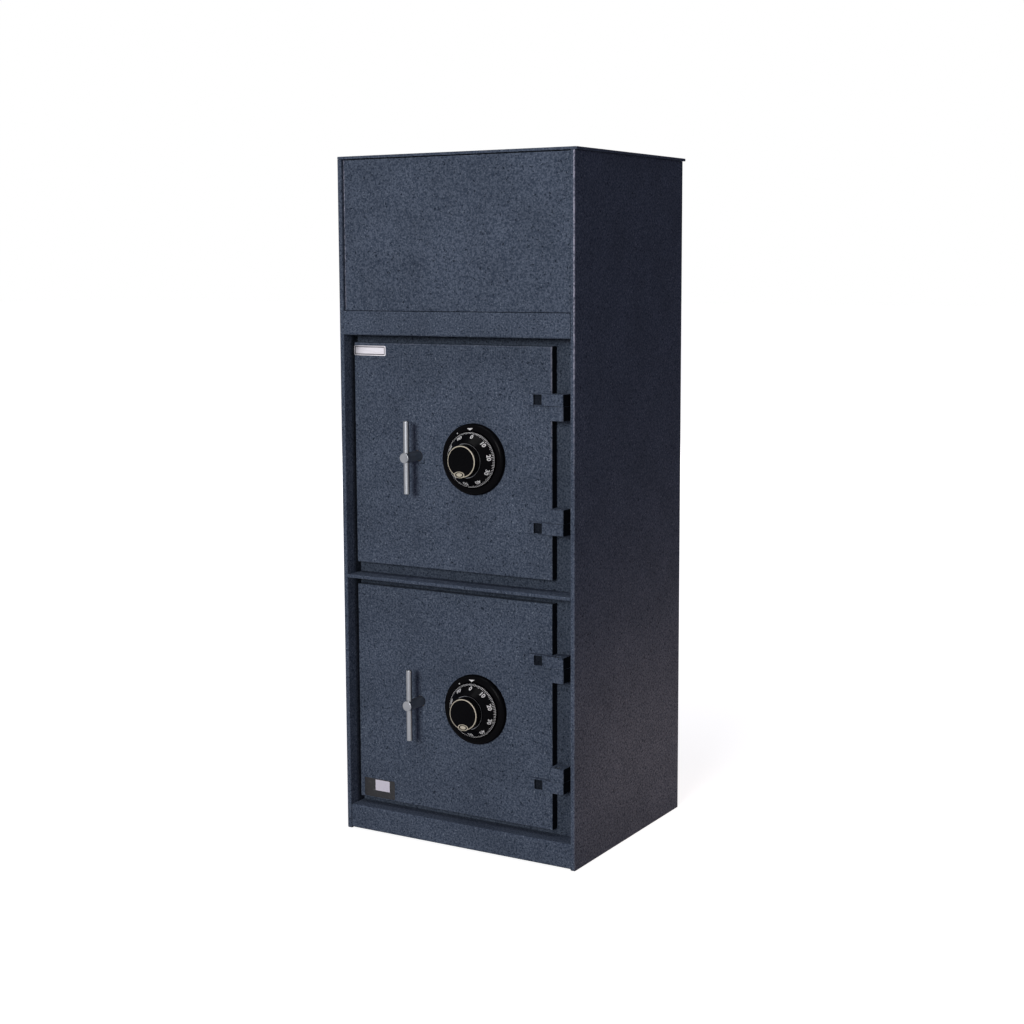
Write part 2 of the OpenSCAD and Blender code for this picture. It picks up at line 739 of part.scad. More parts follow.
// Puts its children at the four screws of the lock case
module lock_corners() {
    inset = lock_wall + screw_in;
    for (x = [-1, 1] * (lock_w / 2 - inset), y = [inset - lock_down, lock_up - inset])
        translate([x, y, 0]) children();
}

module lock_cover(u) color(steel) at_dial(u) difference() {
    translate([-lock_w / 2, -lock_down, case_back_z - cover_t]) cube([lock_w, lock_up + lock_down, cover_t]);
    lock_corners() translate([0, 0, case_back_z - cover_t - cut])
        cylinder(r = screw_r, h = cover_t + 2 * cut);
}

module lock_screws(u) color(nickel) at_dial(u) lock_corners() {
    translate([0, 0, case_back_z - cover_t]) cylinder(r = screw_r, h = cover_t + screw_depth);
    difference() {
        translate([0, 0, case_back_z - cover_t - screw_head_h]) cylinder(r = screw_head_r, h = screw_head_h);
        translate([-screw_head_r - cut, -screw_r / 4, case_back_z - cover_t - screw_head_h - cut])
            cube([2 * (screw_head_r + cut), screw_r / 2, screw_head_h / 2 + cut]);
    }
}

module lock_wheels(u) color(brass) at_dial(u) for (i = [0 : wheel_n - 1])
    translate([0, 0, -door_t - lock_wall - wheel_gap - i * wheel_pitch - wheel_t]) difference() {
        cylinder(r = wheel_r, h = wheel_t);
        translate([0, 0, -cut]) cylinder(r = wheel_post_r, h = wheel_t + 2 * cut);
        rotate([0, 0, first_gate_deg + gate_step_deg * i])
            translate([-gate_w / 2, wheel_r - gate_w, -cut])
                cube([gate_w, gate_w + cut, wheel_t + 2 * cut]);
    }

// Lock bolt, drawn in under the bolt bar's arm
module lock_bolt(u) color(brass) at_dial(u)
    translate([-lock_bolt_w / 2, wheel_r + lock_bolt_gap, bolt_z - lock_bolt_t / 2])
        cube([lock_bolt_w, lock_up + lock_arm_gap - slide_gap - wheel_r - lock_bolt_gap, lock_bolt_t]);

// Angle that carries the locking bolts
module bolt_guide(u) color(zinc) at_door(u) difference() {
    union() {
        translate([guide_x, -guide_half_h(u), -door_t - guide_depth])
            cube([angle_t, 2 * guide_half_h(u), guide_depth]);
        translate([guide_x, -guide_half_h(u), -door_t - angle_t])
            cube([angle_t + guide_foot_w, 2 * guide_half_h(u), angle_t]);
    }
    for (y = [-1, 0, 1] * outer_bolt_y(u))
        translate([guide_x - cut, y, bolt_z]) rotate([0, 90, 0])
            cylinder(r = bolt_r + run_gap, h = angle_t + 2 * cut);
}

module locking_bolts(u) color(nickel) at_door(u) for (y = [-1, 0, 1] * outer_bolt_y(u))
    translate([bolt_tip_x, y, bolt_z]) rotate([0, 90, 0]) {
        cylinder(r1 = bolt_r - bolt_chamfer, r2 = bolt_r, h = bolt_chamfer);
        translate([0, 0, bolt_chamfer]) cylinder(r = bolt_r, h = bolt_len - bolt_chamfer);
    }

// Flat bar that joins the bolts, with the crank's slot and the arm that the lock bolt blocks
module bolt_bar(u) color(zinc) at_door(u) {
    slot_x = handle_x + crank_r / sqrt(2);
    slot_y0 = lock_y(u) + crank_r / sqrt(2);
    slot_y1 = lock_y(u) + crank_r;
    tab_x1 = slot_x + crank_pin_r + crank_slack + tab_wall;
    arm_y0 = lock_y(u) + lock_up + lock_arm_gap;
    notch_x = dial_x + bolt_travel;
    arm_x1 = notch_x + lock_bolt_w / 2 + arm_past;
    translate([0, 0, bolt_z - bar_t / 2]) linear_extrude(bar_t) difference() {
        union() {
            translate([bar_x0, -bar_half_h(u)]) square([bar_w, 2 * bar_half_h(u)]);
            translate([bar_x0, slot_y0 - crank_pin_r - slot_wall])
                square([tab_x1 - bar_x0, slot_y1 - slot_y0 + 2 * (crank_pin_r + slot_wall)]);
            translate([bar_x0, arm_y0]) square([arm_x1 - bar_x0, lock_arm_h]);
        }
        translate([slot_x - crank_pin_r - crank_slack, slot_y0 - crank_pin_r - slot_end_gap])
            square([2 * (crank_pin_r + crank_slack), slot_y1 - slot_y0 + 2 * (crank_pin_r + slot_end_gap)]);
        translate([notch_x - lock_bolt_w / 2 - notch_gap, arm_y0 - cut])
            square([lock_bolt_w + 2 * notch_gap, notch_h + cut]);
        for (y = [-1, 1] * post_y(u)) slot(post_x, post_x + bolt_travel, y, post_r + slide_gap);
    }
}

// Shoulder posts that the bolt bar slides on
module bar_posts(u) color(steel) at_door(u) for (y = [-1, 1] * post_y(u)) translate([post_x, y, 0]) {
    head_z = bolt_z - bar_t / 2 - slide_gap - post_head_t;
    translate([0, 0, bar_front_z + slide_gap]) cylinder(r = spacer_r, h = -door_t - bar_front_z - slide_gap);
    translate([0, 0, head_z]) cylinder(r = post_r, h = -door_t - head_z);
    translate([0, 0, head_z]) cylinder(r = spacer_r, h = post_head_t);
}

// Fixed bar that hooks behind the frame on the hinge side
module deadbar(u) color(zinc) at_door(u) {
    foot_x = door_x1 - deadbar_in - deadbar_w;
    half_h = open_half_h(u) - deadbar_end_gap;
    back_z = bolt_z - deadbar_leg_t / 2;
    translate([foot_x, -half_h, back_z]) cube([deadbar_leg_t, 2 * half_h, -door_t - back_z]);
    translate([foot_x, -half_h, back_z]) cube([deadbar_w, 2 * half_h, deadbar_leg_t]);
}

// Flanged bush that the handle spindle turns in
module handle_bush(u) color(brass) at_handle(u) difference() {
    union() {
        translate([0, 0, -door_t]) cylinder(r = spindle_r + run_gap + bush_wall, h = door_t - bush_lip);
        translate([0, 0, -door_t - bush_flange_t])
            cylinder(r = spindle_r + run_gap + bush_wall + bush_flange_w, h = bush_flange_t);
    }
    translate([0, 0, -door_t - bush_flange_t - cut])
        cylinder(r = spindle_r + run_gap, h = door_t + bush_flange_t + 2 * cut);
}

// Spindle from the crank to the nose, bored across for the rod
module handle_spindle(u) color(nickel) at_handle(u) difference() {
    rotate_extrude() polygon(concat(
        [[0, crank_back_z], [spindle_r, crank_back_z], [spindle_r, nose_z - nose_round]],
        arc(nose_round, 0, 90, 4, [spindle_r - nose_round, nose_z - nose_round]),
        [[0, nose_z]]
    ));
    translate([0, 0, rod_out]) rotate([90, 0, 0]) cylinder(r = rod_r, h = 4 * spindle_r, center = true);
}

// Cross rod with rounded ends
module handle_rod(u) color(nickel) at_handle(u) translate([0, 0, rod_out]) rotate([90, 0, 0])
    rotate_extrude() polygon(concat(
        [[0, -rod_len / 2]],
        arc(rod_round, -90, 0, 4, [rod_r - rod_round, rod_round - rod_len / 2]),
        arc(rod_round, 0, 90, 4, [rod_r - rod_round, rod_len / 2 - rod_round]),
        [[0, rod_len / 2]]
    ));

// Crank disc on the spindle, with the pin that moves the bolt bar
module handle_crank(u) color(steel) at_handle(u) {
    pin_at = [crank_r / sqrt(2), crank_r / sqrt(2)];
    pin_z0 = bolt_z - bar_t / 2 - crank_pin_past;
    difference() {
        translate([0, 0, crank_back_z]) cylinder(r = crank_r + crank_pin_r + crank_rim, h = crank_t);
        translate([0, 0, crank_back_z - cut]) cylinder(r = spindle_r, h = crank_t + 2 * cut);
    }
    translate([pin_at[0], pin_at[1], pin_z0]) cylinder(r = crank_pin_r, h = crank_back_z - pin_z0);
}

left_wall();
right_wall();
back_panel();
floor_plate();
toe_rail();
lower_door_frame();
upper_door_frame();
divider_shelf();
header_rail();
hopper_front_panel();
deposit_baffle();
lid_hinge_leaf();
lid_hinge_pin();
frame_hinge_blocks();
door_hinge_pins();
hopper_lid();
hopper_end_plates();
hopper_pan();
lid_hinge_barrels();
door_plate(UPPER);  // upper_door_plate
hinge_straps(UPPER);  // upper_hinge_straps
dial_ring(UPPER);  // upper_dial_ring
lock_case(UPPER);  // upper_lock_case
lock_cover(UPPER);  // upper_lock_cover
lock_screws(UPPER);  // upper_lock_screws
lock_wheels(UPPER);  // upper_lock_wheels
lock_bolt(UPPER);  // upper_lock_bolt
bolt_guide(UPPER);  // upper_bolt_guide
bar_posts(UPPER);  // upper_bar_posts
deadbar(UPPER);  // upper_deadbar
handle_bush(UPPER);  // upper_handle_bush
handle_spindle(UPPER);  // upper_handle_spindle
handle_rod(UPPER);  // upper_handle_rod
handle_crank(UPPER);  // upper_handle_crank
dial_wheel(UPPER);  // upper_dial_wheel
dial_knob(UPPER);  // upper_dial_knob
dial_spindle(UPPER);  // upper_dial_spindle
bolt_bar(UPPER);  // upper_bolt_bar
locking_bolts(UPPER);  // upper_locking_bolts
door_plate(LOWER);  // lower_door_plate
hinge_straps(LOWER);  // lower_hinge_straps
dial_ring(LOWER);  // lower_dial_ring
lock_case(LOWER);  // lower_lock_case
lock_cover(LOWER);  // lower_lock_cover
lock_screws(LOWER);  // lower_lock_screws
lock_wheels(LOWER);  // lower_lock_wheels
lock_bolt(LOWER);  // lower_lock_bolt
bolt_guide(LOWER);  // lower_bolt_guide
bar_posts(LOWER);  // lower_bar_posts
deadbar(LOWER);  // lower_deadbar
handle_bush(LOWER);  // lower_handle_bush
handle_spindle(LOWER);  // lower_handle_spindle
handle_rod(LOWER);  // lower_handle_rod
handle_crank(LOWER);  // lower_handle_crank
dial_wheel(LOWER);  // lower_dial_wheel
dial_knob(LOWER);  // lower_dial_knob
dial_spindle(LOWER);  // lower_dial_spindle
bolt_bar(LOWER);  // lower_bolt_bar
locking_bolts(LOWER);  // lower_locking_bolts
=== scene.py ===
"""Dresses the packed deposit safe: painted plates, dials, T-handles, trim, studio and camera.

Every length is in metres, in the frame of the packed model: X right, Y back, Z up.
"""

import json
import math

import bmesh
import bpy
from bpy.props import FloatProperty, FloatVectorProperty, IntProperty, PointerProperty
from mathutils import Matrix, Vector


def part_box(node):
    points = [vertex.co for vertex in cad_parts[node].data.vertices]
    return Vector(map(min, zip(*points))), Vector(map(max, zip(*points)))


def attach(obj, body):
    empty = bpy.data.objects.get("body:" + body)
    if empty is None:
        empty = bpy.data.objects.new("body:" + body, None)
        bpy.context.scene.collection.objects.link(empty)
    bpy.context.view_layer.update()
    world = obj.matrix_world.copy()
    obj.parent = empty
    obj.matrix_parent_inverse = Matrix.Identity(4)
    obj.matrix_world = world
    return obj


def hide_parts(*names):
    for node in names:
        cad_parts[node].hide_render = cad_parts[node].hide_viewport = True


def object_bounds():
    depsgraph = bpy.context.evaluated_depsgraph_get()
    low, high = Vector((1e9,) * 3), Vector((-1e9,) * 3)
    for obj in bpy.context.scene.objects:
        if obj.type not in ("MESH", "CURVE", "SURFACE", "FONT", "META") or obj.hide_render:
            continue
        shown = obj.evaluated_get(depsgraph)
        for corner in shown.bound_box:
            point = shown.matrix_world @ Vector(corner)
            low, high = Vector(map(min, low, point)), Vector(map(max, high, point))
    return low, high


bl_info = {
    "name": "Deposit safe dressing",
    "version": (1, 0, 0),
    "blender": (4, 5, 0),
    "location": "3D View > Sidebar > Deposit safe",
    "description": "Builds the looks of a two-compartment deposit safe around its packed solids",
    "category": "Object",
}

DOORS = ("upper", "lower")
MERGE_DISTANCE = 2e-6
READ_SLACK = 1e-5
FLAT_ANGLE = math.radians(1)
SHARP_ANGLE = math.radians(40)
TURNED_SEGMENTS = 192
FLUTE_STEPS = 6
FLUTE_ROUNDNESS = 0.6
ROUND_STEPS = 6

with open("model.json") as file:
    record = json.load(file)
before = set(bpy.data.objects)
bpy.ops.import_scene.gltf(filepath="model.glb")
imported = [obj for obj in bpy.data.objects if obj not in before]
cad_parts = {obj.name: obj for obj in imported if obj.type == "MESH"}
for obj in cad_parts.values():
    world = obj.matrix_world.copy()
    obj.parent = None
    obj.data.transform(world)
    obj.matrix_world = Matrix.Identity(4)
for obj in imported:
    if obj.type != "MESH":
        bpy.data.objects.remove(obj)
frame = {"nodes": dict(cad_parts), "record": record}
cad_lo, cad_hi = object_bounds()
body_of = {n: b for b, nodes in frame["record"]["behaviour"]["bodies"].items() for n in nodes}


# Sizes and colours that a user would change


def numbers_of(**kind):
    """Maker of number properties of one kind, such as lengths or powers."""

    def make(name, description, default):
        return FloatProperty(name=name, description=description, default=default, **kind)

    return make


length = numbers_of(min=0.0, unit="LENGTH")
power = numbers_of(min=0.0, unit="POWER")
share = numbers_of(min=0.0, max=1.0, subtype="FACTOR")
radians = numbers_of(subtype="ANGLE")
number = numbers_of()


def angle(name, description, degrees):
    return radians(name, description, math.radians(degrees))


def count(name, description, default):
    return IntProperty(name=name, description=description, default=default, min=1)


def linear(value):
    v = value / 255
    return v / 12.92 if v <= 0.04045 else ((v + 0.055) / 1.055) ** 2.4


def colour(name, description, *seen):
    """Colour property from a colour as it is seen, each channel from 0 to 255."""
    tone = [linear(v) for v in seen]
    return FloatVectorProperty(
        name=name, description=description, default=tone, size=3, min=0.0, max=1.0, subtype="COLOR"
    )


class SafePaint(bpy.types.PropertyGroup):
    """Textured powder coat on the cabinet and the doors"""

    deep: colour("Deep tone", "Darker tone of the mottled powder coat", 56, 65, 79)
    high: colour("High tone", "Lighter tone of the mottled powder coat", 86, 95, 109)
    speck: colour("Dark specks", "Colour of the dark specks", 28, 35, 44)
    fleck: colour("Light flecks", "Colour of the light flecks", 124, 134, 148)
    # Pale tone of the painted highlight on rounded edges
    worn: colour("Worn edges", "Paint where edges are rubbed", 150, 150, 164)
    # Near-black tone of the painted shade on recessed faces and on faces towards the hinges
    primer: colour("Primer", "Black primer where the powder coat is thin", 9, 11, 14)
    grain: length("Grain", "Width of one grain of the texture", 0.0025)
    relief: length("Relief", "Height of the texture", 0.00022)
    specular: share("Gloss", "Strength of the paint's reflections", 0.003)
    edge: length("Plate edge", "Rounding of the edges of painted plates", 0.0007)


class SafeMetals(bpy.types.PropertyGroup):
    """Bare and plated metals"""

    nickel: colour("Nickel", "Dull nickel of the handles", 140, 142, 147)
    zinc: colour("Zinc", "Zinc plate of the hopper and the boltwork", 172, 174, 172)
    steel: colour("Steel", "Bare machined steel", 156, 158, 162)
    brass: colour("Brass", "Lock parts and bushes", 190, 154, 90)
    brush: length("Brushing", "Spacing of the brushed lines", 0.00035)
    edge: length("Metal edge", "Rounding of the edges of metal parts", 0.0003)


class SafeDial(bpy.types.PropertyGroup):
    """Combination dial"""

    enamel: colour("Enamel", "Black of the dial and its ring", 7, 7, 9)
    scale: colour("Scale paint", "White of the scale and its numbers", 214, 214, 212)
    cream: colour("Face line", "Cream of the line round the knob's face", 180, 173, 154)
    divisions: count("Divisions", "Marks round the whole scale", 100)
    number_step: count("Number step", "Marks from one number to the next", 10)
    number_height: length("Number height", "Size of the numbers", 0.0082)
    number_weight: length("Number weight", "Thickening of the numbers' strokes", 0.00016)
    number_place: length("Number place", "Numbers' middle, up the cone from its edge", 0.0085)
    upper_start: angle("Upper dial", "Zero of the upper dial, clockwise from the top", 9)
    lower_start: angle("Lower dial", "Zero of the lower dial, clockwise from the top", 0.5)
    mark_width: length("Mark width", "Width of a mark", 0.0005)
    mark_length: length("Mark length", "Length of a short mark", 0.0026)
    line_width: length("Line width", "Width of the scale's line", 0.0002)
    line_place: length("Line place", "Scale's line, up the cone from its edge", 0.0008)
    face_line: length("Face line radius", "Radius of the line on the knob's face", 0.0205)
    face_line_width: length("Face line width", "Width of the line on the knob's face", 0.0012)
    badge_width: length("Badge width", "Width of the knob's blank oval badge", 0.0160)
    badge_height: length("Badge height", "Height of the blank badge", 0.0086)
    badge_place: length("Badge place", "Badge, down from the knob's middle", 0.0178)
    # Bright nickel ring at the knob's foot that serves as a painted highlight along its rear rim
    collar: length("Collar", "Width of the bright step at the knob's foot", 0.0006)
    paint_height: length("Paint height", "Height of the painted marks", 0.00008)
    pointer: length("Pointer", "Height of the white pointer", 0.0029)
    pointer_width: length("Pointer width", "Width of the white pointer at its top", 0.0092)
    pointer_angle: angle("Pointer angle", "Pointer, clockwise from the top", -3)
    dot: length("Dot", "Radius of the small white dot", 0.0008)
    dot_angle: angle("Dot angle", "Dot, clockwise from the top", -32.5)


class SafeHandle(bpy.types.PropertyGroup):
    """T-handle"""

    round_edge: length("Round edge", "Rounding of the ends of the rod and the stem", 0.0009)


class SafeTrim(bpy.types.PropertyGroup):
    """Blank nameplate and sticker"""

    plate_width: length("Nameplate width", "Width of the blank nameplate", 0.0525)
    plate_height: length("Nameplate height", "Height of the blank nameplate", 0.0140)
    plate_inset: length("Nameplate inset", "Nameplate in from the door's left edge", 0.0003)
    plate_drop: length("Nameplate drop", "Nameplate down from the door's top", 0.0040)
    plate_depth: length("Nameplate depth", "Thickness of the nameplate", 0.0010)
    plate_rim: length("Nameplate rim", "Width of the nameplate's raised rim", 0.0014)
    plate_colour: colour("Nameplate", "Bright metal of the nameplate", 224, 221, 228)
    plate_dark: colour("Nameplate groove", "Grey of the groove inside the rim", 62, 62, 68)
    sticker_width: length("Sticker width", "Width of the blank sticker", 0.0512)
    sticker_height: length("Sticker height", "Height of the blank sticker", 0.0267)
    sticker_inset: length("Sticker inset", "Sticker in from the door's left edge", 0.0072)
    sticker_rise: length("Sticker rise", "Sticker up from the door's bottom", 0.0016)
    sticker_depth: length("Sticker depth", "Thickness of the sticker", 0.00015)
    sticker_colour: colour("Sticker", "Black ground of the sticker", 20, 20, 24)
    patch_width: length("Patch width", "Width of the pale patch", 0.024)
    patch_height: length("Patch height", "Height of the pale patch", 0.0155)
    patch_inset: length("Patch inset", "Pale patch in from the sticker's left edge", 0.0185)
    patch_drop: length("Patch drop", "Pale patch down from the sticker's top", 0.0012)
    patch_colour: colour("Patch", "Pale patch of the sticker", 204, 200, 210)


class SafeStage(bpy.types.PropertyGroup):
    """Floor, lights and camera"""

    floor: colour("Floor", "Pale floor", 164, 164, 164)
    floor_glow: share("Floor glow", "White added to the floor by the cabinet", 0.85)
    glow_reach: length("Glow reach", "Distance at which the floor is wholly white", 1.6)
    sky: number("Sky", "Strength of the even light from all round", 0.08)
    sky_colour: colour("Sky colour", "Cool tone of the even light", 170, 108, 255)
    key_power: power("Key power", "Power of the key light", 194.0)
    key_azimuth: angle("Key azimuth", "Key light to the right of the front", 10)
    key_elevation: angle("Key elevation", "Key light above the middle of the cabinet", 13)
    key_size: length("Key size", "Width of the key light", 1.7)
    key_distance: length("Key distance", "Distance of the key light", 5.3)
    top_power: power("Top power", "Power of the top light", 16.0)
    top_size: length("Top size", "Width of the top light", 1.2)
    top_height: length("Top height", "Top light above the lid", 1.6)
    top_forward: length("Top forward", "Top light in front of the cabinet's middle", 0.5)
    rear_power: power("Rear power", "Power of the light behind the cabinet's left", 90.0)
    rear_azimuth: angle("Rear azimuth", "Rear light to the right of the front", -148)
    low_power: power("Low power", "Power of the low light beside the right wall", 0.60)
    low_distance: length("Low distance", "Distance of the low light from the right wall", 0.25)
    low_rise: length("Low rise", "Height of the low light above the floor", 0.11)
    low_back: length("Low back", "Low light's middle, behind the middle of the wall", 0.10)
    low_length: length("Low length", "Length of the low light", 0.60)
    low_width: length("Low width", "Width of the low light", 0.10)
    low_colour: colour("Low light", "Warm tone of the low light", 255, 214, 186)
    camera_azimuth: angle("Camera azimuth", "Camera to the right of the front", 31.1117)
    camera_elevation: angle("Camera elevation", "Camera above the level", 7.0973)
    camera_roll: angle("Camera roll", "Turn of the camera about its own axis", -0.3239)
    camera_distance: length("Camera distance", "Camera from the point that it aims at", 2.45788)
    camera_side: number("Camera side", "Aim to the right of the cabinet's middle", -0.032444)
    camera_height: length("Camera aim height", "Height that the camera aims at", 0.488352)
    lens: number("Lens", "Focal length in millimetres", 61.1589)
    shift_x: number("Shift X", "Sideways shift of the camera, in image widths", 0.020312)
    shift_y: number("Shift Y", "Upright shift of the camera, in image widths", -0.029)


SETTINGS = {
    "safe_paint": SafePaint,
    "safe_metals": SafeMetals,
    "safe_dial": SafeDial,
    "safe_handle": SafeHandle,
    "safe_trim": SafeTrim,
    "safe_stage": SafeStage,
}


# Nodes


def feed(socket, value):
    """Puts a number, a colour, a vector or another node's output into a socket."""
    if isinstance(value, bpy.types.NodeSocket):
        socket.id_data.links.new(value, socket)
    elif isinstance(value, (int, float)):
        socket.default_value = value
    else:
        socket.default_value = (*value, 1.0)[: len(socket.default_value)]


def add_node(tree, kind, output, *values, **named):
    """Adds a node, feeds its inputs in order or by name, sets it up, and hands out one output."""
    node = tree.nodes.new(f"ShaderNode{kind}")
    for socket, value in zip(node.inputs, values):
        feed(socket, value)
    for name, value in named.items():
        if name in node.inputs:
            feed(node.inputs[name], value)
        else:
            setattr(node, name, value)
    return node.outputs[output]


def white_rays(tree):
    """One for rays of the camera, of reflections and through glass, which see the white studio."""
    path = tree.nodes.new("ShaderNodeLightPath")
    rays = path.outputs["Is Camera Ray"]
    for kind in ("Is Glossy Ray", "Is Transmission Ray"):
        rays = add_node(tree, "Math", "Value", rays, path.outputs[kind], operation="MAXIMUM")
    return rays


class Shader:
    """Node tree of one material, with short calls for the nodes that the finishes use"""

    def __init__(self, name, metallic=0.0, specular=0.5):
        self.material = bpy.data.materials.new(name)
        self.material.use_nodes = True
        self.tree = self.material.node_tree
        self.surface = self.tree.nodes["Principled BSDF"]
        feed(self.surface.inputs["Metallic"], metallic)
        feed(self.surface.inputs["Specular IOR Level"], specular)
        self.place = self.add("TexCoord", "Object")

    def add(self, kind, output, *values, **named):
        return add_node(self.tree, kind, output, *values, **named)

    def shifted(self, by):
        return self.add("Mapping", "Vector", self.place, Location=(by, by, by))

    def noise(self, size, detail=2, place=None):
        """Cloudy pattern from 0 to 1, mostly near 0.5."""
        vector = place or self.place
        return self.add("TexNoise", "Fac", Vector=vector, Scale=1 / size, Detail=detail)

    def ramp(self, value, low, high, out_low=0.0, out_high=1.0):
        """Goes from out_low to out_high while the value goes from low to high."""
        return self.add("MapRange", "Result", value, low, high, out_low, out_high)

    def times(self, a, b):
        return self.add("Math", "Value", a, b, operation="MULTIPLY")

    def mix(self, amount, first, second):
        node = self.tree.nodes.new("ShaderNodeMix")
        node.data_type = "RGBA"
        sockets = {s.identifier: s for s in (*node.inputs, *node.outputs)}
        feed(sockets["Factor_Float"], amount)
        feed(sockets["A_Color"], first)
        feed(sockets["B_Color"], second)
        return sockets["Result_Color"]

    def bump(self, height, distance):
        normal = self.add("Bump", "Normal", Height=height, Distance=distance)
        feed(self.surface.inputs["Normal"], normal)

    def finish(self, tone, roughness):
        feed(self.surface.inputs["Base Color"], tone)
        feed(self.surface.inputs["Roughness"], roughness)
        return self.material


# Finishes

# Widths of the patterns in the finishes
BROAD_SHADE = 0.06
# Patches that break up the painted highlight on edges
HIGHLIGHT_PATCH = 0.004
METAL_STAIN = 0.012
ZINC_SPANGLE = 0.006
ZINC_STAIN = 0.02
ZINC_RIPPLE = 0.0012
DUST = 0.0011
ENAMEL_RIPPLE = 0.005
MARK_GRAIN = 0.0016
SCUFF = 0.003
VINYL_RIPPLE = 0.004

# Heights of their ripples
SOFT_RIPPLE = 0.00004
VINYL_RELIEF = 0.00003
MARK_RELIEF = 0.00001

# Layer of the faces that holds painted light: above 0 a painted highlight in a pale tone, below 0 painted
# shade in near-black
PAINTED_LIGHT_LAYER = "edge"
# Heights between which the painted highlight on edges goes from faint to full strength
HIGHLIGHT_FROM = 0.50
HIGHLIGHT_TO = 0.80


def powder_coat(name, paint):
    """Wrinkled slate powder coat: dark specks, pale flecks, a painted highlight on edges and near-black
    painted shade.
    """
    s = Shader(name, specular=paint.specular)
    painted_light = s.add("Attribute", "Fac", attribute_name=PAINTED_LIGHT_LAYER)
    height = s.add("SeparateXYZ", "Z", s.place)
    mottle = s.noise(paint.grain)
    speck = s.noise(paint.grain * 1.15, detail=1, place=s.shifted(0.31))
    fleck = s.noise(paint.grain * 0.9, detail=1, place=s.shifted(0.73))
    fine = s.noise(paint.grain * 0.4)
    broad = s.noise(BROAD_SHADE, detail=3)
    body = s.mix(s.ramp(mottle, 0.36, 0.64), paint.deep, paint.high)
    body = s.mix(s.ramp(speck, 0.36, 0.27, 0.0, 0.9), body, paint.speck)
    body = s.mix(s.ramp(fleck, 0.64, 0.76, 0.0, 0.7), body, paint.fleck)
    body = s.mix(s.ramp(broad, 0.35, 0.70, 0.0, 0.22), body, paint.speck)
    # Painted highlight where the layer is above 0, stronger higher up and broken into patches
    highlight_by_height = s.times(painted_light, s.ramp(height, HIGHLIGHT_FROM, HIGHLIGHT_TO, 0.04, 1.0))
    highlit = s.times(highlight_by_height, s.ramp(s.noise(HIGHLIGHT_PATCH, detail=3), 0.40, 0.60, 0.2, 1.0))
    body = s.mix(highlit, body, paint.worn)
    # Painted shade in near-black where the layer is below 0
    body = s.mix(s.times(painted_light, -1.0), body, paint.primer)
    s.bump(s.add("Math", "Value", mottle, s.times(fine, 0.35), operation="ADD"), paint.relief)
    return s.finish(body, s.ramp(fine, 0.3, 0.7, 0.34, 0.52))


def darker(tone, share_left):
    return [c * share_left for c in tone]


def brushed(name, tone, across, roughness):
    """Metal with fine lines, stretched along all axes but one, faint stains and a little smudging."""
    s = Shader(name, metallic=1.0)
    lines = bpy.context.scene.safe_metals.brush
    stretch = [1.0 if axis == across else 0.02 for axis in "xyz"]
    brush = s.noise(lines, detail=3, place=s.add("Mapping", "Vector", s.place, Scale=stretch))
    stain = s.noise(METAL_STAIN, detail=4)
    body = s.mix(s.ramp(brush, 0.35, 0.65), darker(tone, 0.82), tone)
    body = s.mix(s.ramp(stain, 0.55, 0.75, 0.0, 0.25), body, darker(tone, 0.6))
    s.bump(brush, lines * 0.08)
    return s.finish(body, s.ramp(stain, 0.3, 0.7, roughness - 0.04, roughness + 0.08))


def zinc_plate(name, tone):
    """Dull zinc plate with a faint spangle and dark stains."""
    s = Shader(name, metallic=1.0)
    spangle = s.add("TexVoronoi", "Color", Vector=s.place, Scale=1 / ZINC_SPANGLE)
    stain = s.noise(ZINC_STAIN, detail=5)
    body = s.mix(s.ramp(spangle, 0.0, 1.0, 0.0, 0.35), tone, darker(tone, 0.72))
    body = s.mix(s.ramp(stain, 0.52, 0.78, 0.0, 0.4), body, darker(tone, 0.5))
    s.bump(s.noise(ZINC_RIPPLE), SOFT_RIPPLE)
    return s.finish(body, s.ramp(stain, 0.3, 0.7, 0.36, 0.54))


def enamel(name, tone):
    """Black gloss finish with a slight ripple and grey dust."""
    s = Shader(name, specular=0.02)
    dust = s.noise(DUST, detail=4)
    body = s.mix(s.ramp(dust, 0.62, 0.85, 0.0, 0.12), tone, (0.12, 0.12, 0.12))
    s.bump(s.noise(ENAMEL_RIPPLE, detail=1), SOFT_RIPPLE)
    return s.finish(body, s.ramp(dust, 0.4, 0.8, 0.17, 0.30))


def marking(name, tone):
    """Flat enamel paint of marks, with a slight unevenness."""
    s = Shader(name, specular=0.3)
    uneven = s.noise(MARK_GRAIN, detail=3)
    s.bump(uneven, MARK_RELIEF)
    body = s.mix(s.ramp(uneven, 0.45, 0.75, 0.0, 0.35), tone, darker(tone, 0.7))
    return s.finish(body, s.ramp(uneven, 0.3, 0.7, 0.42, 0.6))


def printed(name, tone):
    """Printed vinyl with faint scuffs."""
    s = Shader(name, specular=0.35)
    scuff = s.noise(SCUFF, detail=5)
    s.bump(s.noise(VINYL_RIPPLE), VINYL_RELIEF)
    body = s.mix(s.ramp(scuff, 0.52, 0.72, 0.0, 0.3), tone, [c * 0.6 + 0.06 for c in tone])
    return s.finish(body, s.ramp(scuff, 0.3, 0.7, 0.32, 0.5))


finishes_made = {}


